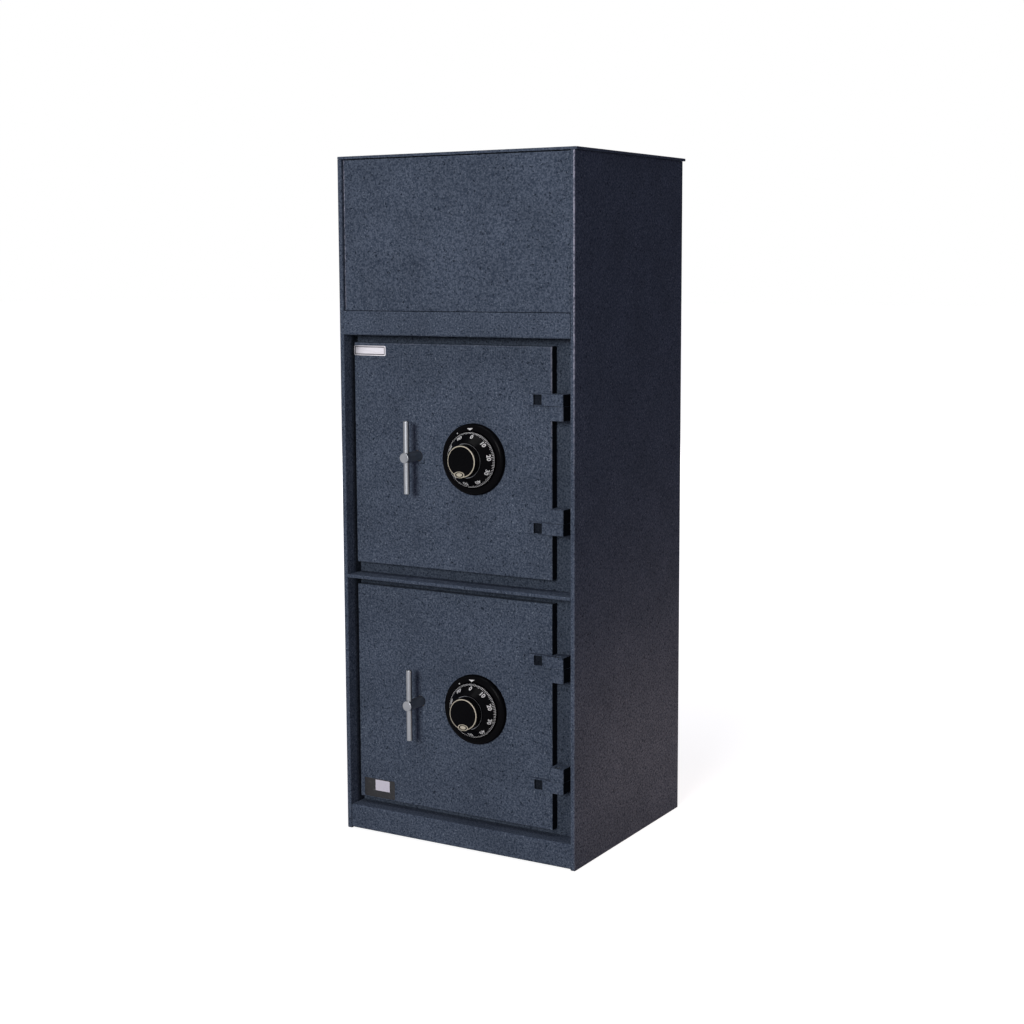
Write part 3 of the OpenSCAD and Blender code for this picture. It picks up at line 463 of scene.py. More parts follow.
def finish_named(name):
    """Makes a finish once, from the scene's settings, and hands the same one out after that."""
    if name in finishes_made:
        return finishes_made[name]
    scene = bpy.context.scene
    metals = scene.safe_metals
    dial = scene.safe_dial
    trim = scene.safe_trim
    # Maker, and tone or settings; for brushed metals also the axis across the lines and the roughness
    makers = {
        "slate_paint": (powder_coat, scene.safe_paint),
        "nickel_rod": (brushed, metals.nickel, "z", 0.34),
        "nickel_turned": (brushed, metals.nickel, "y", 0.34),
        "machined_steel": (brushed, metals.steel, "x", 0.32),
        "plated_zinc": (zinc_plate, metals.zinc),
        "lock_brass": (brushed, metals.brass, "y", 0.3),
        "dial_enamel": (enamel, dial.enamel),
        "scale_paint": (marking, dial.scale),
        "cream_paint": (marking, dial.cream),
        "plate_metal": (brushed, trim.plate_colour, "z", 0.36),
        "plate_groove": (marking, trim.plate_dark),
        "sticker_black": (printed, trim.sticker_colour),
        "sticker_pale": (printed, trim.patch_colour),
    }
    make, *values = makers[name]
    finishes_made[name] = make(name, *values)
    return finishes_made[name]


# Making pieces


def make_piece(name, bm, body, slot, finishes, stands_for=(), smooth=True):
    """Turns a bmesh into a piece that rides on a body and takes the place of CAD nodes."""
    bmesh.ops.recalc_face_normals(bm, faces=bm.faces)
    for face in bm.faces:
        face.smooth = smooth
    for edge in bm.edges:
        if len(edge.link_faces) == 2:
            edge.smooth = edge.calc_face_angle(0.0) < SHARP_ANGLE
    mesh = bpy.data.meshes.new(name)
    bm.to_mesh(mesh)
    bm.free()
    piece = bpy.data.objects.new(name, mesh)
    bpy.context.scene.collection.objects.link(piece)
    for finish in finishes:
        mesh.materials.append(finish_named(finish))
    weighted = piece.modifiers.new("even_shading", "WEIGHTED_NORMAL")
    weighted.keep_sharp = True
    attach(piece, body)
    if stands_for:
        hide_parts(*stands_for)


def bare_node(node, finish):
    """Gives a CAD node, whose shape is right as it is, its finish."""
    mesh = frame["nodes"][node].data
    mesh.materials.clear()
    mesh.materials.append(finish_named(finish))


def arc(centre_r, centre_out, radius, start, end, steps=ROUND_STEPS):
    """Points of a round edge in a turned profile: (radius, distance out of the door)."""
    points = []
    for i in range(steps + 1):
        a = math.radians(start + (end - start) * i / steps)
        points.append((centre_r + radius * math.cos(a), centre_out + radius * math.sin(a)))
    return points


def join_rings(bm, low, high):
    """Faces between two rings of points, or between a ring and a single point."""
    faces = []
    size = max(len(low), len(high))
    for i in range(size):
        j = (i + 1) % size
        if len(low) == 1:
            corners = (low[0], high[j], high[i])
        elif len(high) == 1:
            corners = (low[i], low[j], high[0])
        else:
            corners = (low[i], low[j], high[j], high[i])
        faces.append(bm.faces.new(corners))
    return faces


def skin(bm, rings, closed=False):
    """Joins each ring to the next, and the last to the first if closed; hands out the bands of faces."""
    following = rings[1:] + rings[:1] if closed else rings[1:]
    return [join_rings(bm, low, high) for low, high in zip(rings, following)]


def turned(origin, profile, closed, flutes=0, flute_depth=None):
    """Mesh of a profile turned about the door's own normal; flute_depth gives a depth for each point."""
    segments = flutes * FLUTE_STEPS if flutes else TURNED_SEGMENTS
    bm = bmesh.new()
    rings = []
    for k, (radius, out) in enumerate(profile):
        if radius == 0.0:
            rings.append([bm.verts.new(origin + Vector((0.0, -out, 0.0)))])
            continue
        ring = []
        for i in range(segments):
            a = 2 * math.pi * i / segments
            r = radius
            if flutes and flute_depth[k]:
                r -= flute_depth[k] * (0.5 - 0.5 * math.cos(flutes * a)) ** FLUTE_ROUNDNESS
            ring.append(bm.verts.new(origin + Vector((r * math.sin(a), -out, r * math.cos(a)))))
        rings.append(ring)
    skin(bm, rings, closed)
    return bm


def rounded_loop(width, height, radius):
    """Corners of a rounded rectangle about its own middle, as (across, up)."""
    points = []
    corners = ((1, 1, 0), (-1, 1, 90), (-1, -1, 180), (1, -1, 270))
    for sx, sz, start in corners:
        cx = sx * (width / 2 - radius)
        cz = sz * (height / 2 - radius)
        points += arc(cx, cz, radius, start, start + 90)
    return points


def stacked(middle, layers):
    """Mesh of outlines from the door outwards; a layer is (outline, distance out, finish index)."""
    bm = bmesh.new()
    rings = []
    for outline, out, _ in layers:
        rings.append([bm.verts.new(middle + Vector((x, -out, z))) for x, z in outline])
    for band, layer in zip(skin(bm, rings), layers[1:]):
        for face in band:
            face.material_index = layer[2]
    bm.faces.new(rings[-1]).material_index = layers[-1][2]
    bm.faces.new(list(reversed(rings[0])))
    return bm


def on_door(door, across, up):
    """Point on the outer face of a door."""
    lo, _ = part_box(f"{door}_door_plate")
    return Vector((across, lo.y, up))


def half_width(node):
    lo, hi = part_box(node)
    return (hi.x - lo.x) / 2


def measured(door, part):
    """A turned node's name, its axis on the door's face, its radius, and how far out it ends and starts."""
    node = f"{door}_{part}"
    lo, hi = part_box(node)
    centre = on_door(door, (lo.x + hi.x) / 2, (lo.z + hi.z) / 2)
    out = centre.y - lo.y
    return node, centre, half_width(node), out, out - (hi.y - lo.y)


# Painted plates

# Plates with a painted highlight on rounded edges: the direction that the highlit edge faces, and how
# strong
HIGHLIT_EDGES = {
    "right_wall": ((1, -1, 0), 1.4),
    "upper_door_plate": ((1, -1, 0), 1.0),
    "frame_hinge_blocks": ((1, -1, 0), 0.35),
    "hopper_front_panel": ((-1, -1, 0), 0.8),
}
HIGHLIGHT_COSINE = 0.7
WIDEST_EDGE = 0.0013
HIGHLIGHT_STRIP = 0.0019

# Plates whose faces towards the hinges get near-black painted shade
SHADED_SIDES = (
    "upper_door_plate", "lower_door_plate", "frame_hinge_blocks", "upper_hinge_straps",
    "lower_hinge_straps",
)
SIDE_COSINE = 0.9
SIDE_SHADE = -0.9

# Frames behind the doors, darkened all over by painted shade
SHADED_FRAMES = ("upper_door_frame", "lower_door_frame")
FRAME_SHADE = -0.3
# Left wall's inner face: depth behind its front edge from which painted shade darkens it, and how dark
RECESS_SHADE = ((0.017, -0.4), (0.021, -0.7))

# Pockets of the hinge straps, from the straps' left end, and how dark the painted shade is in them and on
# the straps' long edges
POCKET_IN = 0.009
POCKET_WIDTH = 0.012
POCKET_SLACK = 0.0003
POCKET_BACK = 0.0002
POCKET_FRONT = 0.0004
POCKET_SHADE = -0.85
STRAP_FLAT = 0.004
STRAP_COSINE = 0.3
STRAP_SHADE = -0.7

PAINTED_CABINET = (
    "left_wall", "right_wall", "back_panel", "floor_plate", "toe_rail", "lower_door_frame",
    "upper_door_frame", "divider_shelf", "header_rail", "hopper_front_panel", "deposit_baffle",
    "frame_hinge_blocks",
)


def cut_faces(bm, place, normal):
    """Cuts the faces along a plane, so that painted highlight and painted shade can stop there."""
    geometry = bm.verts[:] + bm.edges[:] + bm.faces[:]
    bmesh.ops.bisect_plane(bm, geom=geometry, plane_co=place, plane_no=normal)


def wear_faces(faces, layer, amount):
    for face in faces:
        face[layer] = amount


def prime_pockets(bm, layer, lo, hi):
    """Paints near-black shade into the pockets of a pair of hinge straps, and painted shadow lines along
    their long edges.
    """
    start = lo.x + POCKET_IN - POCKET_SLACK
    end = lo.x + POCKET_IN + POCKET_WIDTH + POCKET_SLACK
    for face in bm.faces:
        xs = [v.co.x for v in face.verts]
        ys = [v.co.y for v in face.verts]
        behind = min(ys) < hi.y - POCKET_BACK and sum(ys) / len(ys) > lo.y + POCKET_FRONT
        if min(xs) > start and max(xs) < end and behind:
            face[layer] = POCKET_SHADE
        elif max(xs) < end + STRAP_FLAT and abs(face.normal.z) > STRAP_COSINE:
            face[layer] = STRAP_SHADE


def rub_edges(bm, layer, facing, amount):
    """The narrow faces of rounded edges that face one way get a painted highlight."""
    highlit = Vector(facing).normalized()
    for face in bm.faces:
        width = face.calc_area() / max(e.calc_length() for e in face.edges)
        if width < WIDEST_EDGE and face.normal.dot(highlit) > HIGHLIGHT_COSINE:
            face[layer] = amount


def eased_copy(node, slot, finish, edge):
    """Copies a CAD node's mesh, rounds its sharp edges and stands in for the node."""
    bm = bmesh.new()
    bm.from_mesh(frame["nodes"][node].data)
    bmesh.ops.remove_doubles(bm, verts=bm.verts, dist=MERGE_DISTANCE)
    bmesh.ops.dissolve_limit(bm, angle_limit=FLAT_ANGLE, verts=bm.verts, edges=bm.edges)
    # This layer holds painted light: painted highlights on some edges and painted shade on recessed faces
    layer = bm.faces.layers.float.new(PAINTED_LIGHT_LAYER)
    lo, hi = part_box(node)
    # A narrow strip of the right wall's front by its outer corner joins the painted highlight there
    if node == "right_wall":
        cut_faces(bm, (hi.x - HIGHLIGHT_STRIP, 0.0, 0.0), (1.0, 0.0, 0.0))
    # Cuts where the painted shade on the left wall's inner face begins and where it deepens
    if node == "left_wall":
        for depth, _ in RECESS_SHADE:
            cut_faces(bm, (0.0, lo.y + depth, 0.0), (0.0, 1.0, 0.0))
    sharp = [e for e in bm.edges if len(e.link_faces) == 2 and e.calc_face_angle(0.0) > SHARP_ANGLE]
    bmesh.ops.bevel(
        bm, geom=sharp, offset=edge, segments=2, profile=0.5, affect="EDGES", clamp_overlap=True
    )
    bm.normal_update()
    sides = [f for f in bm.faces if f.normal.x > SIDE_COSINE]
    # Painted shade darkens the frames behind the doors
    if node in SHADED_FRAMES:
        wear_faces(bm.faces, layer, FRAME_SHADE)
    # Painted shade on the left wall's inner face, darker further back
    if node == "left_wall":
        for depth, amount in RECESS_SHADE:
            deep = [f for f in sides if f.calc_center_median().y - lo.y > depth]
            wear_faces(deep, layer, amount)
    # Near-black painted shade on the faces towards the hinges
    if node in SHADED_SIDES:
        wear_faces(sides, layer, SIDE_SHADE)
    # Painted shade in the strap pockets and painted shadow lines along the straps' long edges
    if node.endswith("hinge_straps"):
        prime_pockets(bm, layer, lo, hi)
    # Painted highlight on the narrow rounded edges that face the listed way
    if node in HIGHLIT_EDGES:
        rub_edges(bm, layer, *HIGHLIT_EDGES[node])
    make_piece(f"{node}_{finish}", bm, body_of[node], slot, [finish], [node])


def paint_plate(node):
    """Rounds and paints one of the powder-coated plates."""
    eased_copy(node, "powder_coat", "slate_paint", bpy.context.scene.safe_paint.edge)


class SAFE_OT_cabinet(bpy.types.Operator):
    """Paints the cabinet's plates and rounds their edges"""

    bl_idname = "safe.cabinet"
    bl_label = "Cabinet"

    def execute(self, context):
        for node in PAINTED_CABINET:
            paint_plate(node)
        bare_node("door_hinge_pins", "machined_steel")
        return {"FINISHED"}


class SAFE_OT_hopper(bpy.types.Operator):
    """Paints the lid and plates the pan, its end plates and the lid's hinge"""

    bl_idname = "safe.hopper"
    bl_label = "Deposit hopper"

    def execute(self, context):
        paint_plate("hopper_lid")
        for node in ("hopper_end_plates", "hopper_pan"):
            eased_copy(node, "zinc_plate", "plated_zinc", context.scene.safe_metals.edge)
        for node in ("lid_hinge_leaf", "lid_hinge_barrels"):
            bare_node(node, "plated_zinc")
        bare_node("lid_hinge_pin", "machined_steel")
        return {"FINISHED"}


class SAFE_OT_doors(bpy.types.Operator):
    """Paints the doors and their hinge straps"""

    bl_idname = "safe.doors"
    bl_label = "Doors and hinges"

    def execute(self, context):
        for door in DOORS:
            paint_plate(f"{door}_door_plate")
            paint_plate(f"{door}_hinge_straps")
        return {"FINISHED"}


class SAFE_OT_boltwork(bpy.types.Operator):
    """Gives the lock, the bolts and the bars behind the doors their metals"""

    bl_idname = "safe.boltwork"
    bl_label = "Locks and boltwork"

    def execute(self, context):
        finishes = {
            "plated_zinc": ("lock_case", "bolt_guide", "deadbar", "bolt_bar"),
            "machined_steel": ("lock_cover", "bar_posts", "handle_crank", "locking_bolts"),
            "lock_brass": ("lock_wheels", "lock_bolt", "handle_bush", "dial_spindle"),
            "nickel_turned": ("lock_screws",),
        }
        for door in DOORS:
            for finish, parts in finishes.items():
                for part in parts:
                    bare_node(f"{door}_{part}", finish)
        return {"FINISHED"}


def make_stem(door, edge):
    node, centre, radius, out, foot = measured(door, "handle_spindle")
    profile = [(0.0, foot), (radius, foot)]
    profile += arc(radius - edge, out - edge, edge, 0, 90) + [(0.0, out)]
    bm = turned(centre, profile, False)
    make_piece(f"{door}_handle_stem", bm, f"{door}_handle", "nickel", ["nickel_turned"], [node])


def make_rod(door, edge):
    node = f"{door}_handle_rod"
    lo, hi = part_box(node)
    radius = half_width(node)
    half = (hi.z - lo.z) / 2
    profile = [(0.0, -half)] + arc(radius - edge, -half + edge, edge, -90, 0)
    profile += arc(radius - edge, half - edge, edge, 0, 90) + [(0.0, half)]
    bm = turned(Vector((0.0, 0.0, 0.0)), profile, False)
    upright = Matrix.Translation((lo + hi) / 2) @ Matrix.Rotation(math.radians(-90), 4, "X")
    bmesh.ops.transform(bm, matrix=upright, verts=bm.verts)
    make_piece(f"{door}_handle_bar", bm, f"{door}_handle", "nickel", ["nickel_rod"], [node])


class SAFE_OT_handles(bpy.types.Operator):
    """Turns the T-handles: a bare stem and a brushed cross rod"""

    bl_idname = "safe.handles"
    bl_label = "T-handles"

    def execute(self, context):
        edge = context.scene.safe_handle.round_edge
        for door in DOORS:
            make_stem(door, edge)
            make_rod(door, edge)
        return {"FINISHED"}


# Dials

# Round edges of the turned pieces: from and to in degrees, and steps
RING_BEND = (12, 84, 14)
LIP_BEND = (90, 180, 5)
CONE_BEND = (0, 55, 5)
KNOB_BACK_BEND = (-90, 0, 4)
KNOB_FRONT_BEND = (0, 56, 4)

# Ring
WELL_GAP = 0.0008
BORE_GAP = 0.0002
WELL_FLOOR = 0.002
LIP_ROUND = 0.001
RING_UPRIGHT = 1 / 3
POINTER_TIP = 0.0002
POINTER_ROWS = 8
DOT_PLACE = 1.8
DOT_CROWN = 1.5

# Cone
CONE_ROUND = 0.0005
LONG_MARK = 1.6
MIDDLE_MARK = 1.3
LETTER_STEPS = 3

# Knob
KNOB_ROUND = 0.0006
KNOB_RIM = 0.0035
KNOB_RIM_PROUD = 0.0004
KNOB_RIM_LEDGE = 0.0002
KNOB_SLOPE_IN = 0.00026
KNOB_SLOPE_DROP = 0.0010
KNOB_SLOPE_ROUND = 0.0005
KNOB_FLUTES = 48
FLUTE_DEPTH = 0.0009
FLUTE_END = 0.0008
FACE_RECESS = 0.00012
SEATING = 0.0002

# Badge from the knob outwards: share of its size, height in paint thicknesses, finish
BADGE_STEPS = ((1.0, 1, 0), (0.82, 2, 0), (0.78, 1, 1), (0.56, 1, 1), (0.52, 2, 0))
OVAL_POINTS = 48


class Cone:
    """Surface of the dial's cone, addressed by distance up it, clockwise angle and lift"""

    def __init__(self, centre, outer, inner):
        self.centre = centre
        self.outer = Vector(outer)
        self.up = (Vector(inner) - self.outer).normalized()
        self.normal = Vector((self.up.y, -self.up.x))

    def radius(self, up):
        return self.outer.x + self.up.x * up

    def point(self, up, turn, lift):
        place = self.outer + self.up * up + self.normal * lift
        return self.centre + Vector((place.x * math.sin(turn), -place.y, place.x * math.cos(turn)))


def thicken(bm, depth):
    """Gives a sheet of faces on a door a back, so that it is a closed solid."""
    made = bmesh.ops.extrude_face_region(bm, geom=list(bm.faces))
    moved = [v for v in made["geom"] if isinstance(v, bmesh.types.BMVert)]
    bmesh.ops.translate(bm, vec=Vector((0.0, depth * 2, 0.0)), verts=moved)


def add_part(door, part, bm, finishes, rides="dial", slot="dial_black", **more):
    """Makes a piece of a dial."""
    make_piece(f"{door}_dial_{part}", bm, f"{door}_{rides}", slot, finishes, **more)


def make_ring(door, dial):
    node, centre, radius, out, _ = measured(door, "dial_ring")
    well = half_width(f"{door}_dial_wheel") + WELL_GAP
    bore = half_width(f"{door}_dial_spindle") + BORE_GAP
    low = out * RING_UPRIGHT
    bend = out - low
    profile = [(bore, 0.0), (radius, 0.0), (radius, low)]
    profile += arc(radius - bend, low, bend, *RING_BEND)
    profile += arc(well + LIP_ROUND, out - LIP_ROUND, LIP_ROUND, *LIP_BEND)
    profile += [(well, WELL_FLOOR), (bore, WELL_FLOOR)]
    ring = turned(centre, profile, True)
    add_part(door, "dish", ring, ["dial_enamel"], "door", "ring_black", stands_for=[node])
    make_pointer(door, dial, centre, out, well + LIP_ROUND, radius - bend)


def make_pointer(door, dial, centre, out, lip, land):
    """White pointer at the top of the ring and a small dot beside it."""
    lift = dial.paint_height
    low = out * RING_UPRIGHT
    bend = out - low
    turn = Matrix.Rotation(dial.pointer_angle, 3, "Y")
    bm = bmesh.new()
    rows = []
    for i in range(POINTER_ROWS + 1):
        r = lip + dial.pointer * i / POINTER_ROWS
        level = out if r <= land else low + math.sqrt(max(bend**2 - (r - land) ** 2, 0.0))
        w = max(dial.pointer_width / 2 * (i / POINTER_ROWS), POINTER_TIP)
        rows.append([bm.verts.new(centre + turn @ Vector((x, -level - lift, r))) for x in (-w, w)])
    for (a, b), (c, d) in zip(rows, rows[1:]):
        bm.faces.new((a, b, d, c))
    thicken(bm, lift)
    add_part(door, "pointer", bm, ["scale_paint"], "door", smooth=False)
    r = lip + dial.dot * DOT_PLACE
    turn = dial.dot_angle
    middle = centre + Vector((r * math.sin(turn), -out, r * math.cos(turn)))
    profile = [(0.0, -lift), (dial.dot, -lift), (dial.dot, lift), (0.0, lift * DOT_CROWN)]
    add_part(door, "dot", turned(middle, profile, False), ["scale_paint"], "door")


def make_cone(door):
    node, centre, radius, out, foot = measured(door, "dial_wheel")
    bore = half_width(f"{door}_dial_spindle")
    top, edge_out = cone_shape(node, centre, radius, out)
    profile = [(bore, foot), (radius, foot), (radius, edge_out - CONE_ROUND)]
    profile += arc(radius - CONE_ROUND, edge_out, CONE_ROUND, *CONE_BEND)
    profile += [(top, out), (bore, out)]
    add_part(door, "cone", turned(centre, profile, True), ["dial_enamel"], stands_for=[node])
    return Cone(centre, profile[-3], (top, out))


def cone_shape(node, centre, radius, out):
    """Radius of the cone's front, and how far out its upright edge ends, read off its CAD node."""
    points = []
    for v in frame["nodes"][node].data.vertices:
        points.append((math.hypot(v.co.x - centre.x, v.co.z - centre.z), centre.y - v.co.y))
    top = max(r for r, height in points if height > out - READ_SLACK)
    edge_out = max(height for r, height in points if r > radius - READ_SLACK)
    return top, edge_out


def make_knob(door, dial):
    node, centre, radius, out, foot = measured(door, "dial_knob")
    grip = radius - KNOB_RIM_PROUD
    rim = out - KNOB_RIM
    round_in = radius - KNOB_ROUND
    # Radius, distance out and depth of the flutes
    side = (
        (0.0, foot, 0.0),
        (grip - KNOB_ROUND, foot, 0.0),
        (grip, foot + KNOB_ROUND, FLUTE_DEPTH),
        (grip, rim - FLUTE_END, FLUTE_DEPTH),
        (grip - FLUTE_END, rim - KNOB_RIM_LEDGE, 0.0),
        (radius - FLUTE_END, rim - KNOB_RIM_LEDGE, 0.0),
    )
    front = arc(round_in, rim + KNOB_ROUND, KNOB_ROUND, *KNOB_BACK_BEND)
    slope = out - KNOB_SLOPE_DROP - KNOB_SLOPE_ROUND
    front += arc(round_in, slope, KNOB_ROUND, *KNOB_FRONT_BEND)
    inner = dial.face_line - dial.face_line_width / 2
    front += [(inner, out - FACE_RECESS), (0.0, out - FACE_RECESS)]
    profile = [(r, z) for r, z, _ in side] + front
    depths = [depth for _, _, depth in side] + [0.0] * len(front)
    bm = turned(centre, profile, False, flutes=KNOB_FLUTES, flute_depth=depths)
    add_part(door, "grip", bm, ["dial_enamel"], stands_for=[node])
    *_, ledge, _ = measured(door, "dial_wheel")
    low = ledge - SEATING
    high = ledge + dial.paint_height
    # Bright nickel ring at the knob's foot, put there as a painted highlight along its rear rim
    step = radius + dial.collar
    line = [(radius, low), (step, low), (step, high), (radius, high)]
    add_part(door, "collar", turned(centre, line, True), ["nickel_turned"])


def make_face(door, dial, zero):
    """Bevelled line round the knob's face, and the blank badge at its foot."""
    _, centre, radius, out, _ = measured(door, "dial_knob")
    level = out - FACE_RECESS
    inner = dial.face_line - dial.face_line_width / 2
    outer = dial.face_line + dial.face_line_width / 2
    end = radius - KNOB_SLOPE_IN
    low = level - (KNOB_SLOPE_DROP - FACE_RECESS) * (outer - inner) / (end - inner)
    lift = dial.paint_height
    line = [(inner, level - lift * 3), (outer, low - lift * 3)]
    line += [(outer, low + lift), (inner, level + lift)]
    add_part(door, "face_line", turned(centre, line, True), ["cream_paint"])
    down = Matrix.Rotation(zero, 3, "Y") @ Vector((0.0, 0.0, -dial.badge_place))
    middle = centre + Vector((0.0, -level, 0.0)) + down
    layers = [(oval(dial, 1.0), -SEATING, 0)]
    layers += [(oval(dial, size), lift * rise, finish) for size, rise, finish in BADGE_STEPS]
    add_part(door, "badge", stacked(middle, layers), ["cream_paint", "dial_enamel"])


def oval(dial, size):
    """Points of the badge's outline at a share of its size, as (across, up)."""
    points = []
    for i in range(OVAL_POINTS):
        a = 2 * math.pi * i / OVAL_POINTS
        across = dial.badge_width / 2 * size * math.sin(a)
        points.append((across, dial.badge_height / 2 * size * math.cos(a)))
    return points


def make_scale(door, dial, cone, zero):
    """Painted line round the cone with a mark for each division."""
    bm = bmesh.new()
    start = dial.line_place
    end = start + dial.line_width
    high = dial.paint_height
    turns = [2 * math.pi * i / TURNED_SEGMENTS for i in range(TURNED_SEGMENTS)]
    rings = []
    for up, lift in ((start, -high), (start, high), (end, high), (end, -high)):
        rings.append([bm.verts.new(cone.point(up, a, lift)) for a in turns])
    skin(bm, rings, closed=True)
    for i in range(dial.divisions):
        size = dial.mark_length
        if i % dial.number_step == 0:
            size *= LONG_MARK
        elif i % (dial.number_step // 2) == 0:
            size *= MIDDLE_MARK
        add_mark(bm, dial, cone, zero + 2 * math.pi * i / dial.divisions, size)
    add_part(door, "scale", bm, ["scale_paint"], smooth=False)


def add_mark(bm, dial, cone, turn, size):
    start = dial.line_place + dial.line_width * 0.5
    half = dial.mark_width / 2 / cone.radius(start)
    corners = ((start, -half), (start, half), (start + size, half), (start + size, -half))
    rings = []
    for lift in (-dial.paint_height, dial.paint_height):
        rings.append([bm.verts.new(cone.point(up, turn + side, lift)) for up, side in corners])
    for ring in rings:
        bm.faces.new(ring)
    skin(bm, rings)


def make_numbers(door, dial, cone, zero):
    bm = bmesh.new()
    for i in range(0, dial.divisions, dial.number_step):
        add_number(bm, dial, cone, str(i), zero + 2 * math.pi * i / dial.divisions)
    add_part(door, "numbers", bm, ["scale_paint"], smooth=False)


def add_number(bm, dial, cone, text, turn):
    """Wraps one number of the scale round the cone."""
    curve = bpy.data.curves.new("number", "FONT")
    curve.body = text
    curve.size = dial.number_height
    curve.offset = dial.number_weight
    curve.align_x = "CENTER"
    curve.align_y = "CENTER"
    curve.extrude = dial.paint_height
    curve.resolution_u = LETTER_STEPS
    holder = bpy.data.objects.new("number", curve)
    bpy.context.scene.collection.objects.link(holder)
    bpy.context.view_layer.update()
    flat = bpy.data.meshes.new_from_object(holder)
    bpy.data.objects.remove(holder)
    bpy.data.curves.remove(curve)
    around = cone.radius(dial.number_place)
    for v in flat.vertices:
        v.co = cone.point(dial.number_place - v.co.y, turn + v.co.x / around, v.co.z)
    bm.from_mesh(flat)
    bpy.data.meshes.remove(flat)


class SAFE_OT_dials(bpy.types.Operator):
    """Turns the dials: ring, cone, fluted knob, and the painted scale with its numbers"""

    bl_idname = "safe.dials"
    bl_label = "Combination dials"

    def execute(self, context):
        dial = context.scene.safe_dial
        for door, zero in zip(DOORS, (dial.upper_start, dial.lower_start)):
            make_ring(door, dial)
            cone = make_cone(door)
            make_knob(door, dial)
            make_face(door, dial, zero)
            make_scale(door, dial, cone, zero)
            make_numbers(door, dial, cone, zero)
        return {"FINISHED"}


# Trim

# Nameplate from the door outwards, outside and inside its rim: how much smaller it is than there,
# radius of the corners, share of the depth, finish
PLATE_OUTSIDE = ((0.0, 0.0022, 0.0, 0), (0.0, 0.0022, 0.7, 0), (0.0006, 0.0019, 1.0, 0))
PLATE_INSIDE = (
    (0.0, 0.0012, 1.0, 0), (0.0001, 0.0010, 0.55, 1), (0.0024, 0.0006, 0.55, 1), (0.0025, 0.0005, 0.7, 0),
)
STICKER_CORNER = 0.002
PATCH_CORNER = 0.0006


def make_nameplate(trim):
    lo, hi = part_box("upper_door_plate")
    across = lo.x + trim.plate_inset + trim.plate_width / 2
    up = hi.z - trim.plate_drop - trim.plate_height / 2
    layers = []
    for rim, steps in ((0.0, PLATE_OUTSIDE), (2 * trim.plate_rim, PLATE_INSIDE)):
        for smaller, corner, out, finish in steps:
            width = trim.plate_width - rim - smaller
            outline = rounded_loop(width, trim.plate_height - rim - smaller, corner)
            layers.append((outline, trim.plate_depth * out, finish))
    bm = stacked(on_door("upper", across, up), layers)
    make_piece("nameplate", bm, "upper_door", "bright_steel", ["plate_metal", "plate_groove"])


def make_sticker(trim):
    lo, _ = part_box("lower_door_plate")
    left = lo.x + trim.sticker_inset
    up = lo.z + trim.sticker_rise + trim.sticker_height / 2
    depth = trim.sticker_depth
    outline = rounded_loop(trim.sticker_width, trim.sticker_height, STICKER_CORNER)
    middle = on_door("lower", left + trim.sticker_width / 2, up)
    bm = stacked(middle, [(outline, 0.0, 0), (outline, depth, 0)])
    make_piece("sticker", bm, "lower_door", "powder_coat", ["sticker_black"])
    outline = rounded_loop(trim.patch_width, trim.patch_height, PATCH_CORNER)
    up += (trim.sticker_height - trim.patch_height) / 2 - trim.patch_drop
    middle = on_door("lower", left + trim.patch_inset + trim.patch_width / 2, up)
    bm = stacked(middle, [(outline, depth * 0.5, 0), (outline, depth * 1.5, 0)])
    make_piece("sticker_patch", bm, "lower_door", "powder_coat", ["sticker_pale"])


class SAFE_OT_trim(bpy.types.Operator):
    """Fixes the blank nameplate on the upper door and the blank sticker on the lower one"""

    bl_idname = "safe.trim"
    bl_label = "Nameplate and sticker"

    def execute(self, context):
        trim = context.scene.safe_trim
        make_nameplate(trim)
        make_sticker(trim)
        return {"FINISHED"}


# Studio

WHITE = (1.0, 1.0, 1.0)
FLOOR_HALF = 30.0
GLOW_START = 0.4


def direction(azimuth, elevation):
    """Unit vector towards a place seen from the cabinet: azimuth to the right of the front."""
    flat = math.cos(elevation)
    return Vector((math.sin(azimuth) * flat, -math.cos(azimuth) * flat, math.sin(elevation)))


def make_floor(stage):
    """Matt floor that shows the shadow and looks white to the camera and in reflections."""
    bm = bmesh.new()
    bmesh.ops.create_grid(bm, x_segments=8, y_segments=8, size=FLOOR_HALF)
    mesh = bpy.data.meshes.new("floor")
    bm.to_mesh(mesh)
    bm.free()
    floor = bpy.data.objects.new("floor", mesh)
    floor.location.z = cad_lo.z
    bpy.context.scene.collection.objects.link(floor)
    s = Shader("floor_paint", specular=0.0)
    far = s.add("VectorMath", "Value", s.place, operation="LENGTH")
    fade = s.ramp(far, GLOW_START, stage.glow_reach, stage.floor_glow, 1.0)
    glow = s.add("Emission", "Emission", Strength=fade)
    nothing = s.add("Emission", "Emission", Strength=0.0)
    seen = s.add("MixShader", "Shader", white_rays(s.tree), nothing, glow)
    both = s.add("AddShader", "Shader", s.surface.outputs["BSDF"], seen)
    feed(s.tree.nodes["Material Output"].inputs["Surface"], both)
    mesh.materials.append(s.finish(stage.floor, 1.0))


def make_surroundings(context, stage):
    """White for the camera and for reflections, weak even light for the rest."""
    world = bpy.data.worlds.new("surroundings")
    context.scene.world = world
    world.use_nodes = True
    tree = world.node_tree
    weak = tree.nodes["Background"]
    feed(weak.inputs["Color"], stage.sky_colour)
    feed(weak.inputs["Strength"], stage.sky)
    even = weak.outputs["Background"]
    white = add_node(tree, "Background", "Background", WHITE)
    mix = add_node(tree, "MixShader", "Shader", white_rays(tree), even, white)
    feed(tree.nodes["World Output"].inputs["Surface"], mix)


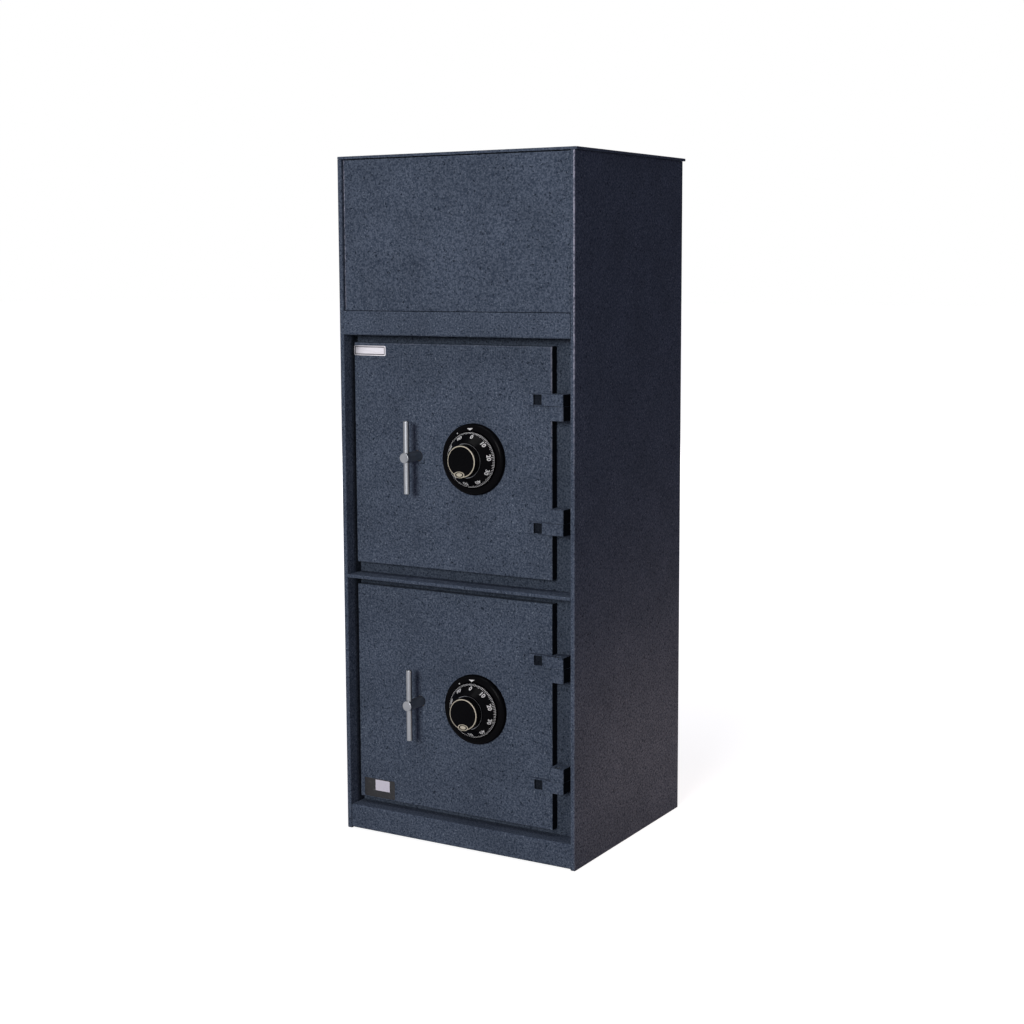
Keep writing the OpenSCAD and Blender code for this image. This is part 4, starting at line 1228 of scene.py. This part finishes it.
def make_lights(stage):
    middle = (cad_lo + cad_hi) / 2
    key = middle + direction(stage.key_azimuth, stage.key_elevation) * stage.key_distance
    add_light("key", key, middle, stage.key_power, stage.key_size)
    above = Vector((middle.x, middle.y - stage.top_forward, cad_hi.z + stage.top_height))
    add_light("top", above, middle, stage.top_power, stage.top_size)
    rear = middle + direction(stage.rear_azimuth, stage.key_elevation) * stage.key_distance
    add_light("rear", rear, middle, stage.rear_power, stage.key_size)
    foot = Vector((cad_hi.x, middle.y + stage.low_back, cad_lo.z + stage.low_rise))
    low = foot + Vector((stage.low_distance, 0.0, 0.0))
    strip = add_light("low", low, foot, stage.low_power, stage.low_length, stage.low_colour)
    strip.shape = "RECTANGLE"
    strip.size_y = stage.low_width


def add_light(name, place, target, watts, size, tone=WHITE):
    light = bpy.data.lights.new(name, "AREA")
    light.shape = "DISK"
    light.size = size
    light.energy = watts
    light.color = tone
    holder = bpy.data.objects.new(name, light)
    holder.location = place
    holder.rotation_euler = (target - place).to_track_quat("-Z", "Y").to_euler()
    bpy.context.scene.collection.objects.link(holder)
    return light


def make_camera(context, stage):
    """Camera aimed beside the cabinet's middle, stepped back, and turned about its own axis."""
    turn = Matrix.Rotation(stage.camera_azimuth, 4, "Z")
    aim = Matrix.Translation((stage.camera_side, 0.0, stage.camera_height))
    tilt = Matrix.Rotation(math.pi / 2 - stage.camera_elevation, 4, "X")
    roll = Matrix.Rotation(stage.camera_roll, 4, "Z")
    back = Matrix.Translation((0.0, 0.0, stage.camera_distance))
    camera = bpy.data.cameras.new("camera")
    camera.lens = stage.lens
    camera.shift_x = stage.shift_x
    camera.shift_y = stage.shift_y
    camera.dof.use_dof = False
    holder = bpy.data.objects.new("camera", camera)
    holder.matrix_world = turn @ aim @ tilt @ roll @ back
    context.scene.collection.objects.link(holder)
    context.scene.camera = holder


class SAFE_OT_stage(bpy.types.Operator):
    """Sets the pale floor, the soft lights, the white surroundings and the camera"""

    bl_idname = "safe.stage"
    bl_label = "Studio"

    def execute(self, context):
        stage = context.scene.safe_stage
        make_floor(stage)
        make_surroundings(context, stage)
        make_lights(stage)
        make_camera(context, stage)
        context.scene.view_settings.view_transform = "Standard"
        return {"FINISHED"}


OPERATORS = (
    SAFE_OT_cabinet, SAFE_OT_hopper, SAFE_OT_doors, SAFE_OT_boltwork, SAFE_OT_handles, SAFE_OT_dials,
    SAFE_OT_trim, SAFE_OT_stage,
)


class SAFE_PT_dressing(bpy.types.Panel):
    """Lists the pieces of the safe's dressing with their settings"""

    bl_idname = "SAFE_PT_dressing"
    bl_label = "Deposit safe"
    bl_space_type = "VIEW_3D"
    bl_region_type = "UI"
    bl_category = "Deposit safe"

    def draw(self, context):
        for operator in OPERATORS:
            self.layout.operator(operator.bl_idname)
        for name, group in SETTINGS.items():
            box = self.layout.box()
            box.label(text=group.__doc__)
            for prop in group.__annotations__:
                box.prop(getattr(context.scene, name), prop)


def register():
    for name, group in SETTINGS.items():
        bpy.utils.register_class(group)
        setattr(bpy.types.Scene, name, PointerProperty(type=group))
    for shown in (*OPERATORS, SAFE_PT_dressing):
        bpy.utils.register_class(shown)


def unregister():
    for shown in (SAFE_PT_dressing, *reversed(OPERATORS)):
        bpy.utils.unregister_class(shown)
    for name, group in reversed(SETTINGS.items()):
        delattr(bpy.types.Scene, name)
        bpy.utils.unregister_class(group)


def main():
    register()
    bpy.ops.safe.cabinet()
    bpy.ops.safe.hopper()
    bpy.ops.safe.doors()
    bpy.ops.safe.boltwork()
    bpy.ops.safe.handles()
    bpy.ops.safe.dials()
    bpy.ops.safe.trim()
    bpy.ops.safe.stage()


if __name__ == "__main__":
    main()
